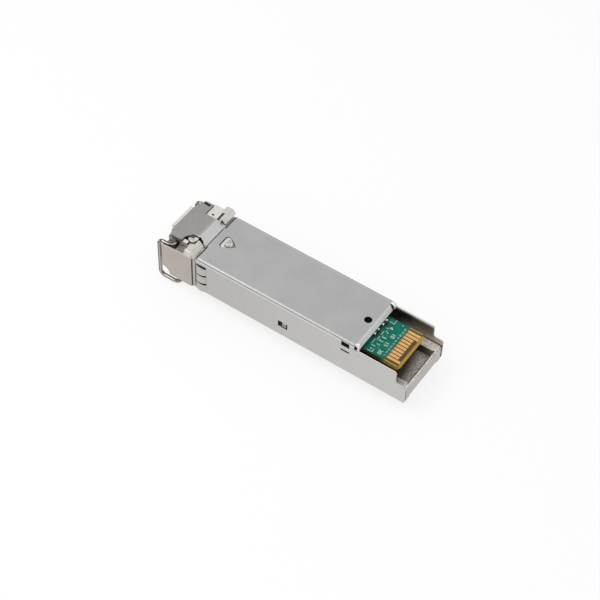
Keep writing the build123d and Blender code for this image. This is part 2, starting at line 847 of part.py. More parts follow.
for row_name, row_level, long_places in (
    ("contacts_upper", board_top, long_upper_contacts),
    ("contacts_lower", board_level - contact_thickness, long_lower_contacts),
):
    with BuildPart() as contact_row:
        with BuildSketch(flat_plane(row_level)):
            for place in range(contact_count):
                length = contact_long if place in long_places else contact_short
                contact_y = (place - (contact_count - 1) / 2) * contact_pitch
                with Locations((along(contact_front_reach - length / 2), contact_y)):
                    Rectangle(length, contact_width)
        extrude(amount=contact_thickness)
    contact_row.part.label = row_name
    export_step(contact_row.part, f"parts/{row_name}.step")

# Chips and small components, soldered to either face of the board
for chip_name, (reach, across), (length, width, height), under in (
    ("driver_chip", driver_place, driver_size, False),
    ("amplifier_chip", amplifier_place, amplifier_size, False),
    ("controller_chip", controller_place, controller_size, True),
):
    with BuildPart() as chip:
        with BuildSketch(flat_plane(board_level if under else board_top)):
            with Locations((along(reach), across)):
                Rectangle(length, width)
        extrude(amount=-height if under else height)
        outer_face = chip.faces().sort_by(Axis.Z)[0 if under else -1]
        chamfer(outer_face.edges(), length=chip_bevel)
    chip.part.label = chip_name
    export_step(chip.part, f"parts/{chip_name}.step")

with BuildPart() as memory_chip:
    memory_x = along(memory_reach)
    lead_y = memory_size[1] / 2 + lead_step
    with BuildSketch(flat_plane(board_level - lead_rise)):
        with Locations((memory_x, 0)):
            Rectangle(*memory_size)
    extrude(amount=-memory_height)
    chamfer(memory_chip.faces().sort_by(Axis.Z)[0].edges(), length=chip_bevel)
    with BuildSketch(Plane.YZ.offset(memory_x)):
        with BuildLine():
            shoulder = board_level - lead_rise - memory_height / 2
            FilletPolyline(
                (memory_size[1] / 2 - lead_sheet, level(shoulder)),
                (lead_y, level(shoulder)),
                (lead_y, level(board_level - lead_sheet / 2)),
                (lead_y + lead_step, level(board_level - lead_sheet / 2)),
                radius=lead_sheet,
            )
        trace(line_width=lead_sheet)
        mirror(about=Plane.YZ)
    extrude(amount=lead_pitch * (lead_count - 1) / 2 + lead_sheet, both=True)
    with BuildSketch(flat_plane(board_level)):
        with Locations((memory_x, lead_y), (memory_x, -lead_y)):
            with GridLocations(lead_pitch, 0, lead_count - 1, 1):
                Rectangle(lead_pitch - 2 * lead_sheet, 2 * lead_step)
    extrude(amount=-memory_height - lead_rise, mode=Mode.SUBTRACT)
memory_chip.part.label = "memory_chip"
export_step(memory_chip.part, "parts/memory_chip.step")

for group_name, (length, width, height), places in (
    ("capacitors", capacitor_size, capacitor_places),
    ("resistors", resistor_size, resistor_places),
    ("inductors", inductor_size, inductor_places),
):
    with BuildPart() as group:
        with BuildSketch(flat_plane(board_top)):
            with Locations([(along(reach), across) for reach, across in places]):
                Rectangle(length, width)
        extrude(amount=height)
    group.part.label = group_name
    export_step(group.part, f"parts/{group_name}.step")

with BuildPart() as board_bump:
    with BuildSketch(side_plane(bump_across)):
        with BuildLine():
            bump_foot = spot(bump_reach, board_top)
            dome = CenterArc(bump_foot, bump_radius, 0, 90)
            Polyline(dome @ 1, bump_foot, dome @ 0)
        make_face()
    revolve(axis=Axis((along(bump_reach), bump_across, 0), (0, 0, 1)))
board_bump.part.label = "board_bump"
export_step(board_bump.part, "parts/board_bump.step")

# Transmitter and receiver: barrel, split sleeve, glass stub, can and flex circuit
for side_name, across in (("transmitter", port_pitch / 2), ("receiver", -port_pitch / 2)):
    axis = Axis((0, across, level(port_level)), (1, 0, 0))
    flange_reach = cavity_front_reach
    body_back_reach = flange_reach - barrel_flange - barrel_body
    can_back_reach = body_back_reach - can_length
    with BuildPart() as barrel:
        with BuildSketch(side_plane(across)):
            with BuildLine():
                bore_end_reach = barrel_tip_reach - sleeve_length - 2 * sleeve_wall
                Polyline(
                    spot(body_back_reach, port_level),
                    spot(body_back_reach, port_level + barrel_body_diameter / 2),
                    spot(flange_reach - barrel_flange, port_level + barrel_body_diameter / 2),
                    spot(flange_reach - barrel_flange, port_level + barrel_flange_diameter / 2),
                    spot(flange_reach, port_level + barrel_flange_diameter / 2),
                    spot(flange_reach, port_level + barrel_diameter / 2),
                    spot(barrel_tip_reach - sleeve_wall, port_level + barrel_diameter / 2),
                    spot(barrel_tip_reach, port_level + barrel_diameter / 2 - sleeve_wall),
                    spot(barrel_tip_reach, port_level + barrel_bore / 2),
                    spot(bore_end_reach, port_level + barrel_bore / 2),
                    spot(bore_end_reach, port_level),
                    close=True,
                )
            make_face()
        revolve(axis=axis)
    barrel.part.label = f"{side_name}_barrel"
    export_step(barrel.part, f"parts/{side_name}_barrel.step")

    with BuildPart() as sleeve:
        with BuildSketch(cross_plane(bore_end_reach)):
            with Locations((-across, level(port_level))):
                Circle(barrel_bore / 2 - sleeve_play)
                Circle(barrel_bore / 2 - sleeve_play - sleeve_wall, mode=Mode.SUBTRACT)
                with Locations((0, barrel_bore / 2)):
                    Rectangle(sleeve_slit, barrel_bore, mode=Mode.SUBTRACT)
        extrude(amount=sleeve_length)
    sleeve.part.label = f"{side_name}_sleeve"
    export_step(sleeve.part, f"parts/{side_name}_sleeve.step")

    with BuildPart() as stub:
        with BuildSketch(cross_plane(bore_end_reach)):
            with Locations((-across, level(port_level))):
                Circle(barrel_bore / 2 - 2 * sleeve_play - sleeve_wall)
        extrude(amount=stub_length)
    stub.part.label = f"{side_name}_stub"
    export_step(stub.part, f"parts/{side_name}_stub.step")

    with BuildPart() as can:
        with BuildSketch(cross_plane(can_back_reach)):
            with Locations((-across, level(port_level))):
                Circle(can_head_diameter / 2)
        extrude(amount=can_head)
        with BuildSketch(cross_plane(can_back_reach)):
            with Locations((-across, level(port_level))):
                Circle(can_diameter / 2)
        extrude(amount=can_length)
    can.part.label = f"{side_name}_can"
    export_step(can.part, f"parts/{side_name}_can.step")

    with BuildPart() as flex:
        with BuildSketch(side_plane(across - flex_width / 2)):
            with BuildLine():
                flex_reach = can_back_reach - flex_thickness / 2
                flex_level = board_top + flex_thickness / 2
                FilletPolyline(
                    spot(flex_reach, flex_level - flex_drop),
                    spot(flex_reach, flex_level),
                    spot(board_reach + board_length - flex_foot, flex_level),
                    radius=flex_bend,
                )
            trace(line_width=flex_thickness)
        extrude(amount=-flex_width)
    flex.part.label = f"{side_name}_flex"
    export_step(flex.part, f"parts/{side_name}_flex.step")

# Barrel clamp: a plate behind both flanges that holds them to the bulkhead
with BuildPart() as barrel_clamp:
    clamp_reach = cavity_front_reach - barrel_flange - clamp_thickness
    clamp_height = pocket_level - floor_level - clamp_play
    with BuildSketch(cross_plane(clamp_reach)):
        with Locations((0, level(floor_level + clamp_height / 2))):
            Rectangle(cavity_width - 2 * clamp_play, clamp_height)
        with Locations((0, level(port_level))):
            with GridLocations(port_pitch, 0, 2, 1):
                Circle(barrel_body_diameter / 2 + clamp_play, mode=Mode.SUBTRACT)
        with Locations((0, level((floor_level + port_level) / 2))):
            with GridLocations(port_pitch, 0, 2, 1):
                Rectangle(
                    barrel_body_diameter + 2 * clamp_play, port_level - floor_level, mode=Mode.SUBTRACT
                )
    extrude(amount=clamp_thickness)
barrel_clamp.part.label = "barrel_clamp"
export_step(barrel_clamp.part, "parts/barrel_clamp.step")
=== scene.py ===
# %% [markdown]
# A pluggable optical transceiver lies on its flat back with its latch side up. The frame holds every
# piece at its real size in metres, so this lesson only dresses it: a camera, a plain studio, one finish
# for each real material, and the small things that are printed, soldered or plated on the pieces.

# %% Load the frame
from math import pi, radians

import bmesh
import bpy
from mathutils import Matrix, Vector


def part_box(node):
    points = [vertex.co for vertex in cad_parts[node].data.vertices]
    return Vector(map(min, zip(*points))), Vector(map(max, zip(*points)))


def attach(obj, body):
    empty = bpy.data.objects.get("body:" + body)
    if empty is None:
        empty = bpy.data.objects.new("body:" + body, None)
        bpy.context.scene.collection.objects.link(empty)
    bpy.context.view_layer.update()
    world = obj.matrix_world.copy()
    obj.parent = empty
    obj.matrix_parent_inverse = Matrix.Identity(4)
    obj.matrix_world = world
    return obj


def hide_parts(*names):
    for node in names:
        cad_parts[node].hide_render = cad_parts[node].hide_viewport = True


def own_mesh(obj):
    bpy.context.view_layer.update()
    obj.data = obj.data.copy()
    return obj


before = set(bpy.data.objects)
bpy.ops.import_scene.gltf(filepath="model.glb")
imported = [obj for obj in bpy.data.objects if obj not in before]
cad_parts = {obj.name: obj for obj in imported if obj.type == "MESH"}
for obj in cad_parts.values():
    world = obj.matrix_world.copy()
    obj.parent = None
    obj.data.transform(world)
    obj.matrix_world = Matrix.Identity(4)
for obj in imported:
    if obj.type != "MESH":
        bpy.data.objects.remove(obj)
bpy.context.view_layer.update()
MM = 0.001
print("pieces in the frame:", len(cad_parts))

# %% [markdown]
# Two helpers turn the maker's measures into places. A reach is counted from the rear end of the cast
# body, and a level from the flat back that the module lies on, as on a drawing of such a module.

# %% Places by reach and level
body_low, body_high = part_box("cast_body")
REAR_X = body_high[0]
BACK_Z = body_low[2]


def place(reach, across, height):
    """A point from its reach, its distance across and its level, in millimetres."""
    return Vector((REAR_X - reach * MM, across * MM, BACK_Z + height * MM))


print("rear end at x =", round(REAR_X, 5), "flat back at z =", round(BACK_Z, 5))

# %% [markdown]
# The photograph was taken from above the near side, turned towards the board end, with a long lens.
# The camera looks at the middle of the module, and a small roll levels the frame as in the picture.

# %% Camera
CAMERA_TARGET = place(27.49, -0.54, 4.25)
CAMERA_PLACE = place(-83.52, -173.37, 254.71)
CAMERA_ROLL = radians(2.32)
LENS, SENSOR_WIDTH = 102.62, 36

camera_data = bpy.data.cameras.new("camera")
camera_data.lens = LENS
camera_data.sensor_width = SENSOR_WIDTH
camera_data.clip_start = 1 * MM
camera = bpy.data.objects.new("camera", camera_data)
bpy.context.scene.collection.objects.link(camera)
look = (CAMERA_TARGET - CAMERA_PLACE).normalized()
turn = look.to_track_quat("-Z", "Y").to_matrix().to_4x4()
camera.matrix_world = Matrix.Translation(CAMERA_PLACE) @ turn @ Matrix.Rotation(CAMERA_ROLL, 4, "Z")
bpy.context.scene.camera = camera
bpy.context.scene.view_settings.view_transform = "Standard"
print("camera is", round((CAMERA_TARGET - CAMERA_PLACE).length / MM), "mm away")

# %% [markdown]
# Shader maths reads best as plain expressions. A small class wraps a socket, so that adding or
# multiplying two of them makes the Math node, and one method makes every other kind of node.

# %% Sockets as values
class Value:
    """A socket that can be added, multiplied and compared as a number."""

    def __init__(self, finish, socket):
        self.finish, self.socket = finish, socket

    def join(self, operation, *others):
        sockets = {i + 1: other for i, other in enumerate(others)}
        return self.finish.node("ShaderNodeMath", {"operation": operation}, {0: self, **sockets})

    def __add__(self, other):
        return self.join("ADD", other)

    def __sub__(self, other):
        return self.join("SUBTRACT", other)

    def __rsub__(self, other):
        return self.join("MULTIPLY", -1.0).join("ADD", other)

    def __mul__(self, other):
        return self.join("MULTIPLY", other)

    def __abs__(self):
        return self.join("ABSOLUTE")

    def larger(self, other):
        return self.join("MAXIMUM", other)

    __radd__, __rmul__ = __add__, __mul__


print("values can be added, subtracted and multiplied")

# %% [markdown]
# A finish is one material with its Principled shader. Its methods are the words that every finish
# below is written in: a reach, a place across or a level in millimetres, a soft band round a line,
# noise of a stated size, painted shade in the crevices, and wear with a painted highlight along the edges.

# %% Finishes
class Finish:
    """One material, with its Principled shader and the makers of its nodes."""

    def __init__(self, name, **constants):
        self.material = bpy.data.materials.new(name)
        self.material.use_nodes = True
        self.tree = self.material.node_tree
        self.shader = self.tree.nodes["Principled BSDF"]
        self.coordinates = self.node("ShaderNodeTexCoord", {}, {}, "Object")
        self.spread = self.node("ShaderNodeSeparateXYZ", {}, {0: self.coordinates})
        normal = self.node("ShaderNodeTexCoord", {}, {}, "Normal")
        self.normals = self.node("ShaderNodeSeparateXYZ", {}, {0: normal})
        for socket, value in constants.items():
            self.shader.inputs[socket.replace("_", " ")].default_value = value

    def link(self, value, socket):
        if isinstance(value, Value):
            self.tree.links.new(value.socket, socket)
        else:
            socket.default_value = value

    def node(self, kind, settings, sockets, output=0):
        made = self.tree.nodes.new(kind)
        for name, setting in settings.items():
            setattr(made, name, setting)
        for name, value in sockets.items():
            self.link(value, made.inputs[name])
        return Value(self, made.outputs[output])

    def part(self, source, output):
        return Value(self, source.socket.node.outputs[output])

    def reach(self):
        return REAR_X / MM - self.part(self.spread, "X") * (1 / MM)

    def across(self):
        return self.part(self.spread, "Y") * (1 / MM)

    def level(self):
        return (self.part(self.spread, "Z") - BACK_Z) * (1 / MM)

    def facing(self, axis):
        """How far the surface faces along an axis, from -1 to 1."""
        return self.part(self.normals, axis)

    def ramp(self, value, low, high, start=0.0, end=1.0):
        """Maps the range low..high of a value to start..end, held at both ends."""
        sockets = {"Value": value, "From Min": low, "From Max": high, "To Min": start, "To Max": end}
        return self.node("ShaderNodeMapRange", {"clamp": True}, sockets)

    def band(self, value, middle, half, soft):
        """One within half of a middle, and nought from there over a soft edge."""
        return self.ramp(abs(value - middle), half, half + soft, 1.0, 0.0)

    def noise(self, size, detail=3.0, stretch=(1, 1, 1), turn=0.0):
        """Noise whose blotches measure about size millimetres, turned about Z and stretched."""
        turned = self.node("ShaderNodeMapping", {}, {0: self.coordinates, "Rotation": (0, 0, turn)})
        placed = self.node("ShaderNodeMapping", {}, {0: turned, "Scale": stretch})
        sockets = {"Vector": placed, "Scale": 1 / (size * MM), "Detail": detail}
        return self.node("ShaderNodeTexNoise", {}, sockets)

    def colour(self, value):
        return value if isinstance(value, Value) else (*value, 1)

    def mix(self, factor, first, second):
        colours = {"Factor": factor, 6: self.colour(first), 7: self.colour(second)}
        return self.node("ShaderNodeMix", {"data_type": "RGBA"}, colours, 2)

    # The crevice mask is where the finishes paint shade into gaps and corners.
    def crevice(self, distance, start=0.55, end=0.95):
        """One deep in a gap or corner, nought on an open face."""
        sockets = {"Distance": distance * MM}
        open_share = self.node("ShaderNodeAmbientOcclusion", {"samples": 8}, sockets, "AO")
        return self.ramp(open_share, start, end, 1.0, 0.0)

    def rounded(self, radius):
        return self.node("ShaderNodeBevel", {"samples": 4}, {"Radius": radius * MM})

    # This mask paints edge wear and a painted highlight along the edges.
    def worn_edge(self, radius):
        """One along the edges, where a rounded normal leaves the face's own."""
        flat = self.node("ShaderNodeNewGeometry", {}, {}, "True Normal")
        normals = {0: self.rounded(radius), 1: flat}
        kept = self.node("ShaderNodeVectorMath", {"operation": "DOT_PRODUCT"}, normals, "Value")
        return self.ramp(kept, 0.80, 0.985, 1.0, 0.0)

    def bump(self, height, strength, distance, bevel=0.0):
        sockets = {"Height": height, "Strength": strength, "Distance": distance * MM}
        if bevel:
            sockets["Normal"] = self.rounded(bevel)
        return self.node("ShaderNodeBump", {}, sockets)

    def set(self, **values):
        for socket, value in values.items():
            self.link(value, self.shader.inputs[socket.replace("_", " ")])
        return self


def dress(finish, *nodes):
    """Gives CAD nodes a finish."""
    for node in nodes:
        mesh = bpy.data.objects[node].data
        mesh.materials.clear()
        mesh.materials.append(finish.material)
    print(finish.material.name, "on", ", ".join(nodes))


print("finishes can be made")

# %% [markdown]
# The studio is a pale floor under soft light. Bare metal is mostly what it mirrors, so the world is
# drawn with care: white low down and on the floor, a dark band above the horizon that draws the dark
# lines along a polished wire, and a pale ceiling. The floor fills the picture, so the sky is only
# seen in the metal.

# %% World
SKY = ((-0.05, 0.90), (0.0, 0.30), (0.10, 0.16), (0.28, 0.34), (0.52, 0.80), (1.0, 0.86))
SKY_TINT = (1.0, 0.995, 0.99)


def studio_world():
    world = bpy.data.worlds.new("studio_world")
    bpy.context.scene.world = world
    world.use_nodes = True
    nodes, links = world.node_tree.nodes, world.node_tree.links
    direction = nodes.new("ShaderNodeTexCoord")
    split = nodes.new("ShaderNodeSeparateXYZ")
    span = nodes.new("ShaderNodeMapRange")
    span.inputs["From Min"].default_value = -1
    ramp = nodes.new("ShaderNodeValToRGB")
    ramp.color_ramp.interpolation = "EASE"
    links.new(direction.outputs["Generated"], split.inputs[0])
    links.new(split.outputs["Z"], span.inputs["Value"])
    links.new(span.outputs[0], ramp.inputs[0])
    for i, (height, grey) in enumerate(SKY):
        position = (height + 1) / 2
        stop = ramp.color_ramp.elements[i] if i < 2 else ramp.color_ramp.elements.new(position)
        stop.position, stop.color = position, (*(grey * tint for tint in SKY_TINT), 1)
    links.new(ramp.outputs[0], nodes["Background"].inputs["Color"])


studio_world()
print("sky from", SKY[0], "to", SKY[-1])

# %% [markdown]
# The floor is paper. Part of its brightness comes as plain white to camera and mirror rays, so the
# page and its mirror image in the metal stay white, and the rest takes a faint shadow. Two soft lamps
# stand in front of the ports and before the near side.

# %% Floor and lamps
FLOOR_GLOW, FLOOR_HALF = 0.8, 6.0
LAMP_SIZE = 0.20
KEY_PLACE, KEY_POWER = place(170, -90, 260), 0.30
NEAR_PLACE, NEAR_POWER = place(-60, -240, 120), 0.10


def soft_lamp(name, position, power):
    data = bpy.data.lights.new(name, "AREA")
    data.shape, data.size, data.energy = "SQUARE", LAMP_SIZE, power
    lamp = bpy.data.objects.new(name, data)
    bpy.context.scene.collection.objects.link(lamp)
    aim = (CAMERA_TARGET - position).normalized().to_track_quat("-Z", "Y").to_matrix().to_4x4()
    lamp.matrix_world = Matrix.Translation(position) @ aim


def studio_floor():
    sheet = bmesh.new()
    bmesh.ops.create_grid(sheet, x_segments=1, y_segments=1, size=FLOOR_HALF)
    mesh = bpy.data.meshes.new("floor")
    sheet.to_mesh(mesh)
    sheet.free()
    floor = bpy.data.objects.new("floor", mesh)
    bpy.context.scene.collection.objects.link(floor)
    paper = Finish("floor_paper", Roughness=0.9, Specular_IOR_Level=0.1)
    fibre = paper.noise(2.0)
    paper.set(Base_Color=paper.mix(fibre, (0.94, 0.94, 0.94), (0.97, 0.97, 0.97)))
    camera_ray = paper.node("ShaderNodeLightPath", {}, {}, "Is Camera Ray")
    mirror_ray = paper.node("ShaderNodeLightPath", {}, {}, "Is Glossy Ray")
    clear_ray = paper.node("ShaderNodeLightPath", {}, {}, "Is Transmission Ray")
    glow = paper.node("ShaderNodeEmission", {}, {"Strength": 1.0})
    share = camera_ray.larger(mirror_ray).larger(clear_ray) * FLOOR_GLOW
    plain = Value(paper, paper.shader.outputs[0])
    shown = paper.node("ShaderNodeMixShader", {}, {0: share, 1: plain, 2: glow})
    paper.link(shown, paper.tree.nodes["Material Output"].inputs["Surface"])
    floor.data.materials.append(paper.material)


studio_floor()
soft_lamp("key_lamp", KEY_PLACE, KEY_POWER)
soft_lamp("near_lamp", NEAR_PLACE, NEAR_POWER)

# %% [markdown]
# The cover is satin nickel on rolled sheet. Rolling leaves a faint grain along the body, and handling
# leaves soft clouds and pale specks. Its walls are painted a little lighter than its top, and lighter
# towards the rear, as painted light. The folded flange at the rear is painted nearly white, as a
# painted reflection of the paper below it.

# %% Nickel sheet
HALF_WIDTH, BEND_ACROSS = 6.7, 6.2
FLANGE_REACH, FLANGE_LEVEL = 11.25, 6.9


def nickel_skin(sheet, grain, cloud, speck):
    """The satin face with its grain, clouds and specks, and painted light that makes the walls a little
    lighter than the top.
    """
    side = abs(sheet.across())
    top_tone = sheet.mix(sheet.ramp(cloud, 0.35, 0.65), (0.505, 0.508, 0.515), (0.545, 0.542, 0.537))
    # Painted light: the walls are painted lighter than the top, and lighter towards the rear.
    wall_light_to_rear = sheet.ramp(sheet.reach(), 44, 4)
    lit_wall_tone = sheet.mix(wall_light_to_rear, (0.520, 0.508, 0.488), (0.580, 0.570, 0.550))
    lit_wall_tone = sheet.mix(sheet.ramp(cloud, 0.45, 0.75, 0.0, 0.25), lit_wall_tone, (0.62, 0.61, 0.59))
    tone = sheet.mix(sheet.ramp(side, BEND_ACROSS + 0.1, BEND_ACROSS + 0.45), top_tone, lit_wall_tone)
    tone = sheet.mix(sheet.ramp(grain, 0.35, 0.75, 0.0, 0.16), tone, (0.30, 0.30, 0.30))
    return sheet.mix(sheet.ramp(speck, 0.60, 0.80, 0.0, 0.25), tone, (0.66, 0.66, 0.66))


def rear_flange(sheet):
    """One on the folded flange and its curled corners."""
    behind = sheet.ramp(sheet.reach(), FLANGE_REACH, FLANGE_REACH + 0.25, 1.0, 0.0)
    raised = sheet.ramp(sheet.level(), FLANGE_LEVEL, FLANGE_LEVEL + 0.1)
    within = sheet.ramp(abs(sheet.across()), HALF_WIDTH - 0.2, HALF_WIDTH - 0.1, 1.0, 0.0)
    return behind * raised * within


print("the cover's skin and flange can be drawn")

# %% [markdown]
# Two bright lines are painted along each bend as highlights, one where it starts and one where it ends.
# Between them the round bend is painted with a reflection: dark above, from the dark band of the sky,
# and light below, from the white paper.

# %% Bends of the cover
COVER_LEVEL, BEND_LEVEL = 8.5, 8.0


def burnished_lines(sheet):
    """One on the two painted highlight lines beside a bend."""
    side, level = abs(sheet.across()), sheet.level()
    upper_line = sheet.band(side, BEND_ACROSS + 0.03, 0.05, 0.05)
    upper_line = upper_line * sheet.ramp(level, COVER_LEVEL - 0.12, COVER_LEVEL - 0.08)
    lower_line = sheet.band(level, BEND_LEVEL + 0.03, 0.06, 0.05)
    lower_line = lower_line * sheet.ramp(side, HALF_WIDTH - 0.12, HALF_WIDTH - 0.08)
    return upper_line.larger(lower_line)


def bend_tone(sheet, tone, bend_highlight):
    """Painted reflection on the bend, a dark upper half and a light lower half, and its painted highlight
    lines.
    """
    side, level = abs(sheet.across()), sheet.level()
    bend = sheet.ramp(side, BEND_ACROSS + 0.08, BEND_ACROSS + 0.14)
    bend = bend * sheet.ramp(level, BEND_LEVEL + 0.06, BEND_LEVEL + 0.12)
    upper_half = sheet.ramp(level, COVER_LEVEL - 0.25, COVER_LEVEL - 0.10, 0.0, 0.7)
    lower_half = sheet.ramp(level, COVER_LEVEL - 0.30, COVER_LEVEL - 0.38)
    # Painted reflection on the bend, then the painted highlight lines.
    tone = sheet.mix(bend * upper_half, tone, (0.27, 0.27, 0.28))
    tone = sheet.mix(bend * lower_half * 0.7, tone, (0.80, 0.80, 0.80))
    return sheet.mix(bend_highlight * 0.7, tone, (0.82, 0.82, 0.82))


print("the bends can be drawn")

# %% [markdown]
# The snap windows and the slots under them look into the dark module, and that dark is painted
# near-black as painted shade, a little past their edges. The inner side of the cover is painted with
# a reflection of that dark, browner towards the rear end and green where it faces the board.

# %% Openings and inner side of the cover
WINDOW_REACH, WINDOW_LEVEL = 13.3, 7.5
WINDOW_HALF_LENGTH, WINDOW_HALF_HEIGHT = 0.89, 0.59
SLOT_LEVEL, SLOT_HALF_LENGTH, SLOT_HALF_HEIGHT = 5.65, 0.93, 0.20
EDGE_SOFT = 0.05
PATCH_REACH = 8.4


def dark_openings(sheet, tone):
    """Painted shade: near-black within the rear window and its slot, a little past their edges, in the
    walls alone.
    """
    reach, level, side = sheet.reach(), sheet.level(), abs(sheet.across())
    window = sheet.band(reach, WINDOW_REACH, WINDOW_HALF_LENGTH, EDGE_SOFT)
    window = window * sheet.band(level, WINDOW_LEVEL, WINDOW_HALF_HEIGHT, EDGE_SOFT)
    slot = sheet.band(reach, WINDOW_REACH, SLOT_HALF_LENGTH, EDGE_SOFT)
    slot = slot * sheet.band(level, SLOT_LEVEL, SLOT_HALF_HEIGHT, EDGE_SOFT)
    in_wall = sheet.ramp(side, HALF_WIDTH - 0.3, HALF_WIDTH - 0.2)
    return sheet.mix(window.larger(slot) * in_wall * 0.9, tone, (0.014, 0.015, 0.013))


def inner_faces(sheet):
    """One on the walls' inner faces and on the underside of the top."""
    inward = sheet.ramp(sheet.facing("Y") * sheet.across(), -2.0, -1.0, 1.0, 0.0)
    downward = sheet.ramp(sheet.facing("Z"), -0.6, -0.4, 1.0, 0.0)
    return inward.larger(downward * sheet.ramp(sheet.level(), 7.0, 7.2))


def inner_tone(sheet, cloud, speck):
    """Painted reflection on the inner side: brown at the rear, then the board's dark green, then the dark.
    """
    reach, level = sheet.reach(), sheet.level()
    deep = sheet.mix(sheet.ramp(reach, 9.0, 3.0), (0.085, 0.085, 0.072), (0.42, 0.365, 0.31))
    board_reflection = sheet.band(reach, PATCH_REACH, 1.0, 0.8) * sheet.ramp(level, 4.5, 5.5)
    board_reflection = board_reflection * sheet.ramp(cloud, 0.30, 0.50, 0.4, 0.9)
    deep = sheet.mix(board_reflection, deep, (0.020, 0.034, 0.027))
    return sheet.mix(sheet.ramp(speck, 0.40, 0.75, 0.0, 0.5), deep, (0.40, 0.36, 0.31))


print("the openings and the inner side can be drawn")

# %% [markdown]
# The layers come together from the skin outwards: the painted white flange, the painted highlights
# and reflection of the bends, painted shade at the openings, the painted reflection on the inner side,
# a painted shadow in the gap before the tabs, edges with wear and a painted highlight, and painted
# shade in the corners.

# %% Dress the cover
FRONT_REACH = 47.5
# BROWN is the painted shade in gaps and corners, and the colour of the dark cast lines.
BROWN = (0.048, 0.033, 0.022)


def nickel_sheet():
    sheet = Finish("satin_nickel", Metallic=1.0)
    reach, side = sheet.reach(), abs(sheet.across())
    grain = sheet.noise(0.07, 2, stretch=(0.12, 1, 1))
    cloud = sheet.noise(6.0, 3)
    speck = sheet.noise(0.09, 1)
    painted_white_flange, bend_highlight, inner = rear_flange(sheet), burnished_lines(sheet), inner_faces(sheet)
    tone = nickel_skin(sheet, grain, cloud, speck)
    # Painted reflection: the flange is painted nearly white and less metallic, as the paper below it.
    tone = sheet.mix(painted_white_flange, tone, (0.98, 0.98, 0.97))
    tone = bend_tone(sheet, tone, bend_highlight)
    tone = dark_openings(sheet, tone)
    # Painted reflection on the inner side of the cover.
    tone = sheet.mix(inner * 0.9, tone, inner_tone(sheet, cloud, speck))
    # Painted shadow in the gap before the tabs.
    gap_shadow = sheet.ramp(reach, FRONT_REACH - 0.32, FRONT_REACH - 0.26) * sheet.ramp(side, 2.8, 3.0)
    gap_shadow = gap_shadow * sheet.ramp(sheet.level(), COVER_LEVEL - 0.2, COVER_LEVEL - 0.1)
    tone = sheet.mix(gap_shadow * 0.9, tone, BROWN)
    # Wear and a painted highlight along the edges.
    tone = sheet.mix(sheet.worn_edge(0.05) * 0.45 * (1 - inner), tone, (0.86, 0.85, 0.84))
    # Painted shade in the corners, left off the flange and the open front.
    open_front = sheet.ramp(reach, FRONT_REACH - 0.5, FRONT_REACH - 0.2)
    tone = sheet.mix(sheet.crevice(0.35) * (1 - painted_white_flange.larger(open_front)), tone, BROWN)
    rough = sheet.ramp(cloud, 0.3, 0.7, 0.34, 0.42) + sheet.ramp(grain, 0.3, 0.7, -0.03, 0.03)
    rough = rough - bend_highlight * 0.14
    relief = sheet.bump(grain + speck * 0.5, 0.25, 0.006, bevel=0.04)
    return sheet.set(Base_Color=tone, Roughness=rough, Metallic=1 - painted_white_flange * 0.85, Normal=relief)


dress(nickel_sheet(), "bottom_cover")

# %% [markdown]
# The body and the port block are zinc castings. A casting has a sandy skin where it is left alone, and
# a smoother face where the tool dressed it, as on the upright faces. Two noises make the sand: dark
# pits in the hollows and bright grains on top.

# %% Zinc castings
TRAY_LEVEL = 1.3
FRONT_GAP_REACH = 47.75


def toned(colour, times, lift=0.0):
    """A colour made lighter or darker, and greyer by a lift."""
    return [c * times + lift for c in colour]


def zinc_casting(name, light, dark, grain):
    """The skin of a casting, whose grain is full in the tray and a share of that higher up."""
    cast = Finish(name, Metallic=1.0)
    reach, level = cast.reach(), cast.level()
    sand = cast.noise(0.15, 3)
    grit = cast.noise(0.26, 2)
    cloud = cast.noise(2.5, 3)
    tone = cast.mix(cast.ramp(cloud, 0.3, 0.7), light, toned(light, 0.88))
    dressed = cast.ramp(abs(cast.facing("Z")), 0.2, 0.5, 1.0, 0.0)
    above_tray = cast.ramp(level, TRAY_LEVEL + 0.1, TRAY_LEVEL + 0.3)
    skin = cast.mix(above_tray, (1.0, 0.92, 0.83), (0.95, 0.92, 0.88))
    tone = cast.mix((1 - dressed) * 0.8, tone, skin)
    grain_share = cast.ramp(level, TRAY_LEVEL + 0.1, TRAY_LEVEL + 0.3, 1.0, grain)
    rough_skin = (1 - dressed * 0.85) * grain_share
    tone = cast.mix(cast.ramp(grit, 0.54, 0.38) * rough_skin * 0.85, tone, dark)
    tone = cast.mix(cast.ramp(sand, 0.52, 0.64) * rough_skin * 0.9, tone, (1.0, 0.96, 0.91))
    # Painted shade in the crevices, left off the front gap; wear and a painted highlight along the edges.
    shade_outside_front_gap = 1 - cast.band(reach, FRONT_GAP_REACH, 0.35, 0.15)
    tone = cast.mix(cast.crevice(1.0, 0.15, 0.75) * 0.6 * shade_outside_front_gap, tone, toned(dark, 1.8))
    tone = cast.mix(cast.worn_edge(0.06) * 0.5, tone, (0.84, 0.82, 0.80))
    tone = cast.mix(cast.crevice(0.3, 0.45, 0.85) * shade_outside_front_gap, tone, BROWN)
    rough = cast.ramp(sand, 0.3, 0.7, 0.36, 0.56) - dressed * 0.08
    relief = sand * (rough_skin + 0.15) + cast.noise(0.05, 1) * 0.2
    tray_floor = cast.ramp(level, TRAY_LEVEL + 0.3, TRAY_LEVEL + 0.1) * (1 - dressed)
    cast.set(Metallic=1 - dressed * 0.25 - tray_floor * 0.6)
    return cast, tone, rough, cast.bump(relief, 0.5, 0.025, bevel=0.07)


print("castings can be drawn")

# %% [markdown]
# The tray at the rear end is what the photograph shows best. Its floor is painted with shade, bright
# beside the lip and dark under the board, its walls are painted dark as a reflection of that dark, and
# a painted shadow line runs along the lip's foot.
# A thin broken parting line crosses the lip where the two halves of the mould met.

# %% Cast body
LIP_REACH, PARTING_REACH, SEAM_ACROSS = 0.72, 0.14, 6.12
TRAY_REAR, TRAY_HALF, SHOULDER_LEVEL = 0.8, 4.5, 3.25
POCKET_OUTER, POCKET_INNER = 6.4, 5.4


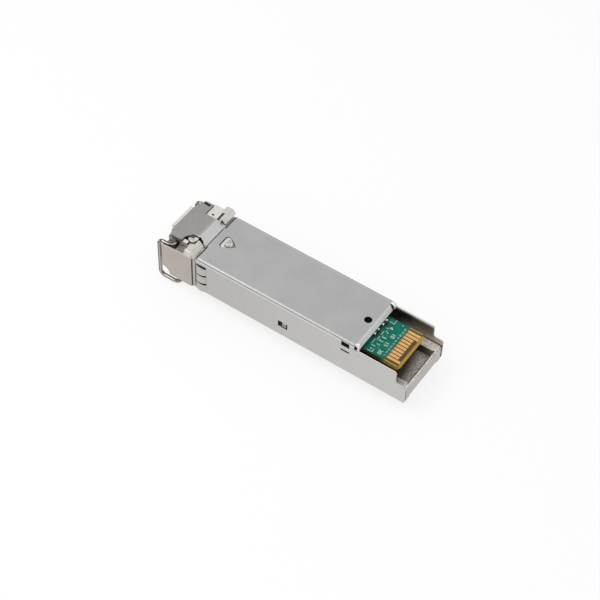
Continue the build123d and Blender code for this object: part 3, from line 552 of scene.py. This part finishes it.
def tray_shade(cast, tone):
    """The painted shade that the tray's floor, its walls and the near shoulder lie in."""
    reach, across, level = cast.reach(), cast.across(), cast.level()
    side = abs(across)
    inside = cast.ramp(reach, TRAY_REAR - 0.02, TRAY_REAR + 0.04)
    inside = inside * cast.ramp(side, TRAY_HALF + 0.1, TRAY_HALF + 0.05)
    inside = inside * cast.ramp(level, SHOULDER_LEVEL - 0.15, SHOULDER_LEVEL - 0.35)
    # Painted shade on the floor and the near shoulder, and a painted reflection of that dark on the walls.
    shaded = cast.ramp(reach - across * 0.15, 2.0, 3.8) * inside
    tone = cast.mix(shaded * 0.90, tone, (0.055, 0.034, 0.021))
    near_shoulder = cast.ramp(across, -TRAY_HALF - 0.1, -TRAY_HALF - 0.4) * cast.ramp(reach, 0.6, 1.5)
    near_shoulder = near_shoulder * cast.ramp(level, SHOULDER_LEVEL + 0.15, SHOULDER_LEVEL + 0.05)
    tone = cast.mix(near_shoulder * 0.5, tone, (0.12, 0.085, 0.06))
    tray_wall = cast.ramp(cast.facing("Y") * across, -3.0, -4.0)
    tray_wall = tray_wall * cast.ramp(level, SHOULDER_LEVEL - 0.05, SHOULDER_LEVEL - 0.15)
    wall_share = tray_wall * cast.ramp(reach, 1.0, 2.6, 0.35, 0.85)
    return cast.mix(wall_share, tone, (0.085, 0.056, 0.036))


def window_pocket(cast, tone):
    """Painted shade: near-black on the body behind the rear snap windows."""
    side = abs(cast.across())
    pocket = cast.ramp(side, POCKET_OUTER + 0.02, POCKET_OUTER - 0.02)
    pocket = pocket * cast.ramp(side, POCKET_INNER - 0.1, POCKET_INNER + 0.1)
    pocket = pocket * cast.ramp(cast.level(), 4.6, 4.8)
    pocket = pocket * cast.band(cast.reach(), WINDOW_REACH, 1.6, 0.2)
    return cast.mix(pocket * 0.9, tone, (0.012, 0.014, 0.012))


def thin_lines(cast):
    """One on the parting line, and on the painted shadow lines at the lip's foot and in the seams beside
    the cover.
    """
    reach, side = cast.reach(), abs(cast.across())
    broken = cast.ramp(cast.noise(0.25, 2), 0.35, 0.55, 0.15, 1.0)
    upper = cast.ramp(cast.level(), SHOULDER_LEVEL - 0.25, SHOULDER_LEVEL - 0.10)
    parting = cast.band(reach, PARTING_REACH, 0.03, 0.03) * upper * broken
    lip_foot_shadow = cast.band(reach, LIP_REACH, 0.14, 0.04) * cast.ramp(side, TRAY_HALF + 0.25, TRAY_HALF + 0.1)
    seam_shadow = cast.ramp(side, SEAM_ACROSS, SEAM_ACROSS + 0.06) * cast.ramp(reach, 0.3, 0.2)
    return parting.larger(lip_foot_shadow).larger(seam_shadow)


def body_casting():
    light, dark = (0.49, 0.472, 0.450), (0.120, 0.078, 0.048)
    cast, tone, rough, relief = zinc_casting("body_casting", light, dark, 0.55)
    tone = window_pocket(cast, tray_shade(cast, tone))
    # The dark parting line, and the painted shadow lines at the lip's foot and in the seams.
    tone = cast.mix(thin_lines(cast) * 0.85, tone, BROWN)
    return cast.set(Base_Color=tone, Roughness=rough, Normal=relief)


dress(body_casting(), "cast_body")

# %% [markdown]
# The port block is warmer and smoother than the body. Only the shelf inside the collar, under the
# lever's head, is painted dark brown with a sandy grain.

# %% Port block
SHELF_ACROSS, SHELF_REACH = -3.2, 50.6
SHELF_LOW, SHELF_HIGH = 6.2, 8.3


def block_casting():
    light, dark = (0.57, 0.535, 0.495), (0.13, 0.098, 0.074)
    cast, tone, rough, relief = zinc_casting("block_casting", light, dark, 0.25)
    level = cast.level()
    shelf = cast.ramp(cast.across(), SHELF_ACROSS, SHELF_ACROSS - 0.4)
    shelf = shelf * cast.ramp(cast.reach(), SHELF_REACH, SHELF_REACH + 0.4)
    shelf = shelf * cast.ramp(level, SHELF_LOW, SHELF_LOW + 0.4)
    shelf = shelf * cast.ramp(level, SHELF_HIGH, SHELF_HIGH - 0.1)
    shelf = shelf * cast.ramp(cast.facing("Z"), 0.3, 0.7)
    grains = cast.ramp(cast.noise(0.22, 3), 0.42, 0.62)
    sandy = cast.mix(grains, (0.05, 0.036, 0.026), (0.42, 0.38, 0.34))
    tone = cast.mix(shelf * 0.85, tone, sandy)
    return cast.set(Base_Color=tone, Roughness=rough, Normal=relief)


dress(block_casting(), "port_block")

# %% [markdown]
# The latch lever is cast too, then barrelled until it shines. Its side facets above the cover are
# painted near-white as highlights, its top a middle grey, and painted shade darkens it in its pocket.
# The pad round the boss lies just under the cover's face and is painted bright as a highlight, and a
# painted shadow line marks the rear foot of the boss.

# %% Latch lever
BOSS_LEVEL, BOSS_REACH, PAD_LEVEL = 9.1, 46.0, 8.45


def barrelled_zinc():
    zinc = Finish("barrelled_zinc", Metallic=1.0)
    ripple = zinc.noise(0.5, 2)
    fine = zinc.noise(0.08, 2)
    level, up = zinc.level(), zinc.facing("Z")
    tone = zinc.mix(zinc.ramp(ripple, 0.40, 0.62), (0.34, 0.29, 0.25), (0.84, 0.82, 0.80))
    # Painted highlight on the side facets above the cover, and a middle grey painted on the top.
    top = zinc.ramp(up, 0.90, 0.98) * zinc.ramp(level, BOSS_LEVEL - 0.05, BOSS_LEVEL)
    side = zinc.ramp(up, 0.90, 0.98, 1.0, 0.0) * zinc.ramp(level, COVER_LEVEL, COVER_LEVEL + 0.1)
    tone = zinc.mix(side * 0.85, tone, (0.96, 0.95, 0.94))
    tone = zinc.mix(top * 0.8, tone, (0.58, 0.565, 0.55))
    # Wear and a painted highlight along the edges.
    tone = zinc.mix(zinc.worn_edge(0.06) * 0.7, tone, (0.95, 0.94, 0.93))
    # Painted shadow line at the rear foot of the boss.
    foot_shadow = zinc.ramp(zinc.reach(), BOSS_REACH + 0.1, BOSS_REACH, 0.0, 1.0)
    foot_shadow = foot_shadow * zinc.band(level, COVER_LEVEL, 0.04, 0.03)
    tone = zinc.mix(foot_shadow * 0.9, tone, BROWN)
    # The pad is painted bright as a highlight, and painted shade fills the corners round it.
    pad_highlight = zinc.ramp(up, 0.90, 0.98) * zinc.band(level, PAD_LEVEL, 0.02, 0.02)
    tone = zinc.mix(zinc.crevice(0.7, 0.3, 0.9) * (1 - pad_highlight * 0.8), tone, BROWN)
    tone = zinc.mix(pad_highlight * 0.75, tone, (0.98, 0.93, 0.90))
    rough = zinc.ramp(fine, 0.3, 0.7, 0.16, 0.30)
    relief = zinc.bump(ripple + fine * 0.3, 0.4, 0.03, bevel=0.10)
    return zinc.set(Base_Color=tone, Roughness=rough, Normal=relief)


dress(barrelled_zinc(), "latch_lever")

# %% [markdown]
# The nose plate was ground flat with a coarse wheel, which leaves fine slanted scratches. Its ramp
# towards the cover has a grain of its own and is painted lighter, as painted light on the slope. It
# lies between a painted shade line at its top and the gap, and a painted glint lies just past the line.

# %% Ground plate
RAMP_REACH, PLATE_REACH = 50.0, 47.9
WHEEL_TURN = radians(-34)


def ground_plate():
    plate = Finish("ground_plate", Metallic=1.0)
    reach = plate.reach()
    wheel = plate.noise(0.09, 3, stretch=(1, 0.04, 1), turn=WHEEL_TURN)
    drift = plate.noise(2.2, 2, stretch=(1, 0.4, 1), turn=WHEEL_TURN)
    tone = plate.mix(plate.ramp(wheel, 0.3, 0.7), (0.36, 0.35, 0.345), (0.45, 0.44, 0.435))
    tone = plate.mix(plate.ramp(drift, 0.35, 0.65, 0.0, 0.35), tone, (0.34, 0.325, 0.31))
    ramp_grain = plate.ramp(plate.noise(0.12, 2, stretch=(0.2, 1, 1)), 0.3, 0.7)
    # Painted light: the ramp is painted lighter than the ground face.
    light = plate.mix(ramp_grain, (0.60, 0.60, 0.60), (0.68, 0.68, 0.68))
    tone = plate.mix(plate.ramp(reach, RAMP_REACH, RAMP_REACH + 0.04, 1.0, 0.0), tone, light)
    # A painted shade line at the top of the ramp and a painted glint just past it.
    line = plate.band(reach, RAMP_REACH + 0.05, 0.035, 0.05)
    glint = plate.band(reach, RAMP_REACH + 0.22, 0.04, 0.08)
    tone = plate.mix(line * 0.6, tone, (0.20, 0.20, 0.21))
    tone = plate.mix(glint * 0.5, tone, (0.70, 0.70, 0.71))
    # Wear and a painted highlight along the edges, and painted shade in the corners away from the gap.
    tone = plate.mix(plate.worn_edge(0.06) * 0.6, tone, (0.86, 0.85, 0.84))
    past_gap = plate.ramp(reach, PLATE_REACH, PLATE_REACH + 0.4)
    tone = plate.mix(plate.crevice(0.3, 0.35, 0.80) * past_gap, tone, BROWN)
    rough = plate.ramp(wheel, 0.3, 0.7, 0.30, 0.44)
    relief = plate.bump(wheel, 0.35, 0.008, bevel=0.05)
    return plate.set(Base_Color=tone, Roughness=rough, Normal=relief)


dress(ground_plate(), "nose_plate")

# %% [markdown]
# The collar and the barrel clamp are stainless sheet with a warm satin skin. The folds of the tabs
# are painted brighter, as painted light, most of all on their rear faces, and painted shade lies in
# the corners where the tabs meet the block.

# %% Warm sheet
TAB_LEVEL = 7.9


def warm_sheet():
    sheet = Finish("warm_stainless", Metallic=1.0)
    pore = sheet.noise(0.11, 3)
    cloud = sheet.noise(3.5, 2)
    tone = sheet.mix(sheet.ramp(cloud, 0.35, 0.65), (0.458, 0.412, 0.362), (0.495, 0.448, 0.398))
    tone = sheet.mix(sheet.ramp(pore, 0.55, 0.75, 0.0, 0.22), tone, (0.30, 0.27, 0.24))
    # Painted light: the raised tabs are painted lighter and less metallic, their rear faces brightest.
    raised = sheet.ramp(sheet.level(), TAB_LEVEL, TAB_LEVEL + 0.4)
    tone = sheet.mix(raised * 0.75, tone, (0.72, 0.70, 0.67))
    lit_rear_faces = raised * sheet.ramp(sheet.facing("X"), 0.5, 0.9)
    tone = sheet.mix(lit_rear_faces, tone, (1.0, 0.98, 0.95))
    # Wear and a painted highlight along the edges, and painted shade in the corners, weaker on the tabs.
    tone = sheet.mix(sheet.worn_edge(0.10) * 0.8, tone, (0.95, 0.94, 0.92))
    tone = sheet.mix(sheet.crevice(0.5, 0.45, 0.90) * (1 - raised * 0.3), tone, BROWN)
    rough = sheet.ramp(pore, 0.3, 0.7, 0.30, 0.42)
    metal = 1 - (raised * 0.4).larger(lit_rear_faces * 0.7)
    relief = sheet.bump(pore, 0.3, 0.01, bevel=0.10)
    return sheet.set(Base_Color=tone, Roughness=rough, Metallic=metal, Normal=relief)


dress(warm_sheet(), "collar", "barrel_clamp")

# %% [markdown]
# The bail is drawn stainless wire, polished. Its drawing lines run along the wire, which for most of
# its length is across or up, so a fine noise stretched both ways breaks its mirror just enough. The
# pins and barrels are ground, and the spring wire is left as drawn: the same words with other values.

# %% Polished wire and pins
def polished_wire(name, low, high):
    """Drawn wire between two roughnesses, with dark streaks painted round it as a painted reflection, and
    painted shade in its corners.
    """
    wire = Finish(name, Metallic=1.0)
    drawn = wire.noise(0.06, 2, stretch=(1, 0.15, 0.15))
    # Painted reflection: dark and light streaks that follow the way the surface faces.
    round_it = wire.node("ShaderNodeTexCoord", {}, {}, "Normal")
    reflection_streaks = wire.node("ShaderNodeTexNoise", {}, {"Vector": round_it, "Scale": 2.6, "Detail": 2.0})
    tone = wire.mix(wire.ramp(reflection_streaks, 0.44, 0.60), (0.12, 0.10, 0.08), (0.60, 0.59, 0.58))
    tone = wire.mix(wire.ramp(drawn, 0.5, 0.8, 0.0, 0.3), tone, (0.30, 0.28, 0.26))
    # Painted shade in the corners.
    tone = wire.mix(wire.crevice(0.8), tone, BROWN)
    rough = wire.ramp(drawn, 0.3, 0.7, low, high)
    return wire.set(Base_Color=tone, Roughness=rough, Normal=wire.bump(drawn, 0.25, 0.006))


dress(polished_wire("bright_wire", 0.08, 0.16), "bail")
dress(polished_wire("ground_pin", 0.20, 0.30), "pivot_pin", "transmitter_barrel", "receiver_barrel")
spring_finish = polished_wire("drawn_spring_wire", 0.22, 0.34)
dress(spring_finish, "latch_spring")

# %% [markdown]
# The board is glass laminate under green solder mask. Copper under the mask shows as paler lines and
# islands with tinned holes between. The mask stops at the edge contacts, and past it the bare laminate
# is olive, with a pale bevelled rim where the edge was milled.

# %% Circuit board
BOARD_REACH, BOARD_HALF = 2.9, 4.6
MASK_REACH, BEVEL = 6.12, 0.3
LANE_SCALE, ISLAND_SCALE = 420.0, 620.0


def copper_pattern(board):
    """Lanes, plated islands and holes under the mask, each one where it is there."""
    waves = {0: board.coordinates, "Scale": LANE_SCALE, "Distortion": 0.6, "Detail": 0.0}
    lane = board.node("ShaderNodeTexWave", {"bands_direction": "Y"}, waves)
    quiet = board.ramp(board.noise(2.4, 1), 0.50, 0.54)
    cells = {0: board.coordinates, "Scale": ISLAND_SCALE}
    island = board.node("ShaderNodeTexVoronoi", {"feature": "F1"}, cells, "Distance")
    plated = board.ramp(island, 0.16, 0.20, 1.0, 0.0)
    hole = board.ramp(island, 0.07, 0.09, 1.0, 0.0)
    return board.ramp(lane, 0.62, 0.70) * quiet, plated, hole


def bare_laminate(board, weave, flat):
    """Olive glass cloth, with its pale bevelled rim that greens towards the mask."""
    reach, side = board.reach(), abs(board.across())
    glass = board.mix(board.ramp(weave, 0.7, 1.3), (0.068, 0.048, 0.016), (0.130, 0.092, 0.030))
    rim = board.ramp(reach, BOARD_REACH + BEVEL, BOARD_REACH + BEVEL + 0.08, 1.0, 0.0)
    rim = rim.larger(board.ramp(side, BOARD_HALF - 0.24, BOARD_HALF - 0.16)).larger(1 - flat)
    pale = board.mix(board.ramp(weave, 0.6, 1.4), (0.400, 0.270, 0.062), (0.530, 0.375, 0.105))
    towards_mask = board.ramp(reach, MASK_REACH - 0.2, MASK_REACH + 0.8, 0.0, 0.85)
    return board.mix(rim, glass, board.mix(towards_mask, pale, (0.016, 0.055, 0.028)))


def green_board():
    board = Finish("green_board", Metallic=0.0, Specular_IOR_Level=0.15)
    flat = board.ramp(abs(board.facing("Z")), 0.9, 0.97)
    copper, plated, hole = copper_pattern(board)
    cloud = board.noise(1.6, 2)
    mask = board.mix(board.ramp(cloud, 0.35, 0.65), (0.001, 0.118, 0.078), (0.003, 0.165, 0.112))
    mask = board.mix(copper * 0.30, mask, (0.020, 0.250, 0.180))
    mask = board.mix(plated * 0.5, mask, (0.030, 0.330, 0.235))
    mask = board.mix(hole * 0.8, mask, (0.003, 0.060, 0.040))
    weave = board.noise(0.10, 2, stretch=(1, 0.3, 1)) + board.noise(0.10, 2, stretch=(0.3, 1, 1))
    bare = board.ramp(board.reach(), MASK_REACH, MASK_REACH + 0.04, 1.0, 0.0).larger(1 - flat)
    tone = board.mix(bare, mask, bare_laminate(board, weave, flat))
    # Painted shade: near-black where the board meets the parts on it.
    tone = board.mix(board.crevice(0.9, 0.3, 0.9) * 0.8, tone, (0.012, 0.012, 0.008))
    rough = board.ramp(bare, 0.0, 1.0, 0.30, 0.55) + board.ramp(cloud, 0.3, 0.7, -0.03, 0.03)
    relief = (copper * 0.6 + plated * 0.5 - hole) * (1 - bare) + weave * bare * 0.4
    bumps = board.bump(relief, 0.4, 0.02, bevel=0.03)
    return board.set(Base_Color=tone, Roughness=rough, Normal=bumps)


dress(green_board(), "circuit_board", "board_bump")

# %% [markdown]
# The edge contacts are plated with hard gold. Plugging in wipes them lengthwise, so fine streaks run
# along each one and their front ends are deeper orange. Their outlines are painted darker, as shade.

# %% Gold
CONTACT_FRONT = 6.1
WIPE_TURN = radians(4)


def gold_plate(name, light, deep, front=None):
    """Gold with fine streaks along it, deeper orange before a front reach where one is given."""
    gold = Finish(name, Metallic=1.0)
    streak = gold.noise(0.06, 2, stretch=(0.12, 1, 1), turn=WIPE_TURN)
    cloud = gold.noise(0.7, 2)
    tone = gold.mix(gold.ramp(streak, 0.3, 0.7), deep, light)
    tone = gold.mix(gold.ramp(cloud, 0.5, 0.75, 0.0, 0.4), tone, (0.98, 0.66, 0.34))
    if front is not None:
        orange = gold.ramp(gold.reach(), front - 0.35, front - 0.05, 0.0, 0.8)
        tone = gold.mix(orange, tone, (0.62, 0.20, 0.05))
    # Painted shade round the outlines and in the corners.
    tone = gold.mix(gold.crevice(0.3, 0.4, 0.9) * 0.8, tone, (0.16, 0.07, 0.02))
    rough = gold.ramp(streak, 0.3, 0.7, 0.24, 0.38)
    return gold.set(Base_Color=tone, Roughness=rough, Normal=gold.bump(streak, 0.3, 0.01))


hard_gold = gold_plate("hard_gold", (0.93, 0.56, 0.235), (0.76, 0.41, 0.145), CONTACT_FRONT)
dress(hard_gold, "contacts_upper", "contacts_lower")
soft_gold = gold_plate("soft_gold", (0.85, 0.60, 0.28), (0.72, 0.46, 0.18))
dress(soft_gold, "transmitter_can", "receiver_can")

# %% [markdown]
# Chips are moulded in black epoxy, which is dull and finely pitted, and the shorter components around
# them have a fired black or tan body. The memory chip's leads lie on the board, so its finish turns to
# tinned metal from the level of the leads.

# %% Chips and small bodies
EPOXY_DARK, EPOXY_LIGHT = (0.010, 0.010, 0.011), (0.022, 0.022, 0.023)
FIRED_DARK, FIRED_LIGHT = (0.020, 0.014, 0.011), (0.045, 0.034, 0.026)
EPOXY_ROUGH, FIRED_ROUGH = 0.55, 0.35
LEAD_LEVEL = 5.0


def moulded_body(name, dark, light, roughness, lead_level=None):
    """A pitted body, with tinned leads above a level where one is given."""
    body = Finish(name, Metallic=0.0)
    pit = body.noise(0.05, 3)
    cloud = body.noise(0.6, 2)
    tone = body.mix(body.ramp(cloud, 0.3, 0.7), dark, light)
    tone = body.mix(body.ramp(pit, 0.62, 0.78, 0.0, 0.5), tone, toned(light, 2.2, 0.03))
    # Wear and a painted highlight along the edges.
    tone = body.mix(body.worn_edge(0.05) * 0.5, tone, toned(light, 1.6, 0.04))
    rough = body.ramp(pit, 0.3, 0.7, roughness - 0.08, roughness + 0.08)
    if lead_level is not None:
        lead = body.ramp(body.level(), lead_level, lead_level + 0.03)
        tone = body.mix(lead, tone, (0.62, 0.60, 0.57))
        body.set(Metallic=lead)
        rough = rough - lead * 0.25
    relief = body.bump(pit, 0.35, 0.015, bevel=0.04)
    return body.set(Base_Color=tone, Roughness=rough, Normal=relief)


black_epoxy = moulded_body("black_epoxy", EPOXY_DARK, EPOXY_LIGHT, EPOXY_ROUGH)
dress(black_epoxy, "driver_chip", "amplifier_chip", "controller_chip", "resistors", "inductors")
dress(moulded_body("memory_epoxy", EPOXY_DARK, EPOXY_LIGHT, EPOXY_ROUGH, LEAD_LEVEL), "memory_chip")
dress(moulded_body("fired_body", FIRED_DARK, FIRED_LIGHT, FIRED_ROUGH), "capacitors")

# %% [markdown]
# Inside the ports, each optical stub is a polished ceramic rod in a split ceramic sleeve, and a flexible
# circuit of amber film with copper lanes joins each gold can to the board.

# %% Ceramic and flex
FLEX_LANE_SCALE = 700.0


def white_ceramic():
    ceramic = Finish("white_ceramic", Metallic=0.0, Coat_Weight=0.4, Coat_Roughness=0.08)
    cloud = ceramic.noise(0.8, 2)
    grain = ceramic.noise(0.05, 2)
    tone = ceramic.mix(ceramic.ramp(cloud, 0.3, 0.7), (0.80, 0.79, 0.76), (0.88, 0.87, 0.85))
    # Painted shade in the corners.
    tone = ceramic.mix(ceramic.crevice(0.4) * 0.6, tone, (0.25, 0.22, 0.19))
    rough = ceramic.ramp(grain, 0.3, 0.7, 0.18, 0.30)
    relief = ceramic.bump(grain, 0.15, 0.01, bevel=0.04)
    return ceramic.set(Base_Color=tone, Roughness=rough, Normal=relief)


def amber_flex():
    flex = Finish("amber_flex", Metallic=0.0)
    waves = {0: flex.coordinates, "Scale": FLEX_LANE_SCALE, "Distortion": 0.2}
    lane = flex.node("ShaderNodeTexWave", {"bands_direction": "Y"}, waves)
    copper = flex.ramp(lane, 0.45, 0.55)
    tone = flex.mix(flex.noise(0.6, 2), (0.36, 0.13, 0.020), (0.50, 0.20, 0.035))
    tone = flex.mix(copper * 0.6, tone, (0.78, 0.40, 0.16))
    rough = flex.ramp(copper, 0.0, 1.0, 0.34, 0.26)
    return flex.set(Base_Color=tone, Roughness=rough, Normal=flex.bump(copper, 0.4, 0.02))


dress(white_ceramic(), "transmitter_stub", "receiver_stub", "transmitter_sleeve", "receiver_sleeve")
dress(amber_flex(), "transmitter_flex", "receiver_flex")

# %% [markdown]
# The latch spring is a compression spring of round wire, with closed end turns. A circle is spun round
# the spring's axis with a rise at each step, first nearly flat, then open, then flat again. The lever
# presses on it when the bail opens, and this piece stands for the CAD spring.

# %% Latch spring
SPRING_REACH, SPRING_SEAT, SPRING_TOP = 48.9, 5.9, 7.55
SPRING_DIAMETER, SPRING_WIRE = 1.1, 0.18
CLOSED_TURNS, OPEN_TURNS = 0.75, 3.0
WIRE_SIDES, STEPS_A_TURN = 12, 24


def coil(sheet):
    """Spins a circle of wire through its closed, open and closed turns."""
    rise = SPRING_TOP - SPRING_SEAT - SPRING_WIRE
    open_pitch = (rise - 2 * CLOSED_TURNS * SPRING_WIRE) / OPEN_TURNS
    closed = (CLOSED_TURNS, SPRING_WIRE)
    ring = bmesh.ops.create_circle(
        sheet, segments=WIRE_SIDES, radius=SPRING_WIRE / 2 * MM, cap_ends=True
    )["verts"]
    bmesh.ops.rotate(sheet, verts=ring, cent=(0, 0, 0), matrix=Matrix.Rotation(pi / 2, 3, "X"))
    start = place(SPRING_REACH, 0, SPRING_SEAT + SPRING_WIRE / 2)
    outward = Vector(((SPRING_DIAMETER - SPRING_WIRE) / 2 * MM, 0, 0))
    bmesh.ops.translate(sheet, verts=ring, vec=start + outward)
    edges = sheet.edges[:]
    for turns, pitch in (closed, (OPEN_TURNS, open_pitch), closed):
        made = bmesh.ops.spin(
            sheet, geom=edges, cent=start, axis=(0, 0, 1), dvec=(0, 0, pitch / STEPS_A_TURN * MM),
            angle=2 * pi * turns, steps=round(turns * STEPS_A_TURN),
        )["geom_last"]
        edges = [e for e in made if isinstance(e, bmesh.types.BMEdge)]
    bmesh.ops.contextual_create(sheet, geom=edges)
    print("spring stands", round(rise + SPRING_WIRE, 2), "mm high")


def made_piece(name, sheet, finish):
    """Turns a bmesh into a piece that rides on the module."""
    bmesh.ops.remove_doubles(sheet, verts=sheet.verts[:], dist=1e-7)
    bmesh.ops.recalc_face_normals(sheet, faces=sheet.faces[:])
    mesh = bpy.data.meshes.new(name)
    sheet.to_mesh(mesh)
    sheet.free()
    mesh.materials.append(finish.material)
    piece = bpy.data.objects.new(name, mesh)
    bpy.context.scene.collection.objects.link(piece)
    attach(piece, "module")
    print(name, "has", len(mesh.polygons), "faces")
    return piece


wire_coil = bmesh.new()
coil(wire_coil)
spring = made_piece("coil_spring", wire_coil, spring_finish)
spring.data.polygons.foreach_set("use_smooth", [True] * len(spring.data.polygons))
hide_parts("latch_spring")
place(SPRING_REACH, 0, SPRING_SEAT)
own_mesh(spring)

# %% [markdown]
# Small components have silvered ends, which the solder wets. Each end is a cube whose edges are
# bevelled, a hair wider than the body that it caps. All ends of one kind share a mesh, because one
# piece is easier to handle than a dozen.

# %% Silvered ends
BOARD_TOP = 6.25
CAPACITORS = ((10.8, -0.2), (10.7, 2.5), (14.5, -2.8), (16.5, -2.8), (24.5, 3.2), (35.0, -0.1))
CAPACITOR_SIZE = (0.8, 1.6, 0.7)
RESISTORS = ((19.5, -1.2), (21.0, -1.2), (22.5, -1.2), (26.5, -3.4), (26.5, -1.6), (34.5, 3.4))
RESISTOR_SIZE = (0.5, 1.0, 0.35)
CAP_SHARE, CAP_PROUD, CAP_EDGE = 0.26, 0.03, 0.07


def add_block(sheet, centre, size, edge):
    """A cube of a size in millimetres with bevelled edges."""
    made = bmesh.ops.create_cube(sheet, size=1.0)["verts"]
    bmesh.ops.scale(sheet, vec=Vector(size) * MM, verts=made)
    bmesh.ops.translate(sheet, vec=centre, verts=made)
    edges = list({e for v in made for e in v.link_edges})
    bmesh.ops.bevel(
        sheet, geom=edges, offset=edge * MM, affect="EDGES", segments=2, profile=0.5, material=-1
    )


def silvered_ends(name, places, size, finish):
    """Two caps on each component, whose length lies along the body and width across it."""
    sheet = bmesh.new()
    length, width, height = size
    cap = (length + 2 * CAP_PROUD, width * CAP_SHARE, height + CAP_PROUD)
    for reach, across in places:
        for end in (-1, 1):
            middle = across + end * (width + 2 * CAP_PROUD - cap[1]) / 2
            add_block(sheet, place(reach, middle, BOARD_TOP + cap[2] / 2), cap, CAP_EDGE)
    return made_piece(name, sheet, finish)


def solder_silver():
    solder = Finish("solder_silver", Metallic=1.0)
    ripple = solder.noise(0.25, 2)
    tone = solder.mix(solder.ramp(ripple, 0.35, 0.65), (0.62, 0.60, 0.57), (0.88, 0.87, 0.85))
    # Painted shade in the corners.
    tone = solder.mix(solder.crevice(0.3) * 0.7, tone, (0.06, 0.05, 0.04))
    rough = solder.ramp(ripple, 0.3, 0.7, 0.24, 0.36)
    relief = solder.bump(ripple, 0.4, 0.04, bevel=0.05)
    return solder.set(Base_Color=tone, Roughness=rough, Normal=relief)


solder = solder_silver()
silvered_ends("capacitor_ends", CAPACITORS, CAPACITOR_SIZE, solder)
silvered_ends("resistor_ends", RESISTORS, RESISTOR_SIZE, solder)

# %% [markdown]
# White ink is printed on the solder mask: outlines of where the components go, dots and a fiducial
# ring. The ink is a film a hundredth of a millimetre thick, so each line is a very flat block, and the
# ring is a disc whose rim was inset and raised.

# %% White lines
INK, INK_EDGE = 0.012, 0.003
LINE = 0.11
PRINT_LINES = (
    (9.55, 3.55, 1.1, LINE), (9.55, 1.95, 0.5, LINE), (9.10, 4.05, LINE, 0.9),
    (9.70, 0.55, LINE, 1.0), (9.70, -0.95, LINE, 1.0), (10.05, -2.0, LINE, 1.2),
    (9.60, -2.9, 0.9, LINE), (8.95, -3.95, LINE, 0.8), (9.45, -4.3, 0.9, LINE),
)
PRINT_DOTS = ((9.3, 1.25), (7.5, 4.1), (9.5, -3.7), (8.9, 1.0))
DOT_RADIUS = 0.13
FIDUCIAL, FIDUCIAL_RADIUS, FIDUCIAL_WIDTH = (7.9, 2.9), 0.45, 0.12


def fiducial_ring(sheet):
    bmesh.ops.create_circle(sheet, segments=32, radius=FIDUCIAL_RADIUS * MM, cap_ends=True)
    disc = sheet.faces[:]
    bmesh.ops.inset_region(sheet, faces=disc, thickness=FIDUCIAL_WIDTH * MM)
    bmesh.ops.delete(sheet, geom=disc, context="FACES")
    raised = bmesh.ops.extrude_face_region(sheet, geom=sheet.faces[:], use_keep_orig=True)["geom"]
    top = [v for v in raised if isinstance(v, bmesh.types.BMVert)]
    bmesh.ops.translate(sheet, vec=(0, 0, INK * MM), verts=top)
    bmesh.ops.translate(sheet, vec=place(*FIDUCIAL, BOARD_TOP), verts=sheet.verts[:])


def printed_lines(finish):
    sheet = bmesh.new()
    fiducial_ring(sheet)
    for reach, across, length, width in PRINT_LINES:
        add_block(sheet, place(reach, across, BOARD_TOP + INK / 2), (length, width, INK), INK_EDGE)
    for reach, across in PRINT_DOTS:
        dot = bmesh.ops.create_cone(
            sheet, cap_ends=True, segments=20, radius1=DOT_RADIUS * MM, radius2=DOT_RADIUS * MM,
            depth=INK * MM,
        )["verts"]
        bmesh.ops.translate(sheet, vec=place(reach, across, BOARD_TOP + INK / 2), verts=dot)
    return made_piece("printed_lines", sheet, finish)


def white_ink():
    ink = Finish("white_ink", Metallic=0.0)
    thin = ink.noise(0.14, 3)
    tone = ink.mix(ink.ramp(thin, 0.34, 0.60), (0.30, 0.48, 0.42), (0.74, 0.80, 0.77))
    rough = ink.ramp(thin, 0.3, 0.7, 0.45, 0.60)
    return ink.set(Base_Color=tone, Roughness=rough, Normal=ink.bump(thin, 0.3, 0.01))


ink = white_ink()
printed_lines(ink)

# %% [markdown]
# The numbers are plain ones: small ones beside the upper row of contacts, and larger ones in two rows
# behind them. Each is a flat text curve with a little depth, made into a mesh and then turned to read
# from the far side.

# %% White numbers
CONTACT_COUNT, CONTACT_PITCH, FIRST_CONTACT = 10, 0.8, 11
CONTACT_ROW, MIDDLE_ROW, BACK_ROW = 6.68, 7.70, 8.95
MIDDLE_NUMBERS = ((20, -3.5), (15, -1.3), (10, 1.0))
BACK_NUMBERS = ((1, -2.2), (2, -1.2), (3, -0.2), (4, 2.4))
NUMBER_HEIGHT, TEXT_SIZE_SHARE = 0.85, 1.35


def number_rows():
    """Each number with its reach, its place across and its height."""
    middle = (CONTACT_COUNT - 1) / 2
    rows = [
        (FIRST_CONTACT + i, CONTACT_ROW, (i - middle) * CONTACT_PITCH, NUMBER_HEIGHT / 2)
        for i in range(CONTACT_COUNT)
    ]
    rows += [(number, MIDDLE_ROW, across, NUMBER_HEIGHT) for number, across in MIDDLE_NUMBERS]
    return rows + [(number, BACK_ROW, across, NUMBER_HEIGHT) for number, across in BACK_NUMBERS]


def printed_numbers(finish):
    """All the numbers as one mesh."""
    whole = bmesh.new()
    for number, reach, across, height in number_rows():
        curve = bpy.data.curves.new("number", "FONT")
        curve.body, curve.size = str(number), height * MM * TEXT_SIZE_SHARE
        curve.extrude = INK * MM / 2
        curve.align_x, curve.align_y = "CENTER", "CENTER"
        shown = bpy.data.objects.new("number", curve)
        flat = bpy.data.meshes.new_from_object(shown)
        spot = Matrix.Translation(place(reach, across, BOARD_TOP + INK / 2))
        flat.transform(spot @ Matrix.Rotation(-pi / 2, 4, "Z"))
        whole.from_mesh(flat)
        bpy.data.objects.remove(shown)
        bpy.data.curves.remove(curve)
        bpy.data.meshes.remove(flat)
    return made_piece("printed_numbers", whole, finish)


printed_numbers(ink)
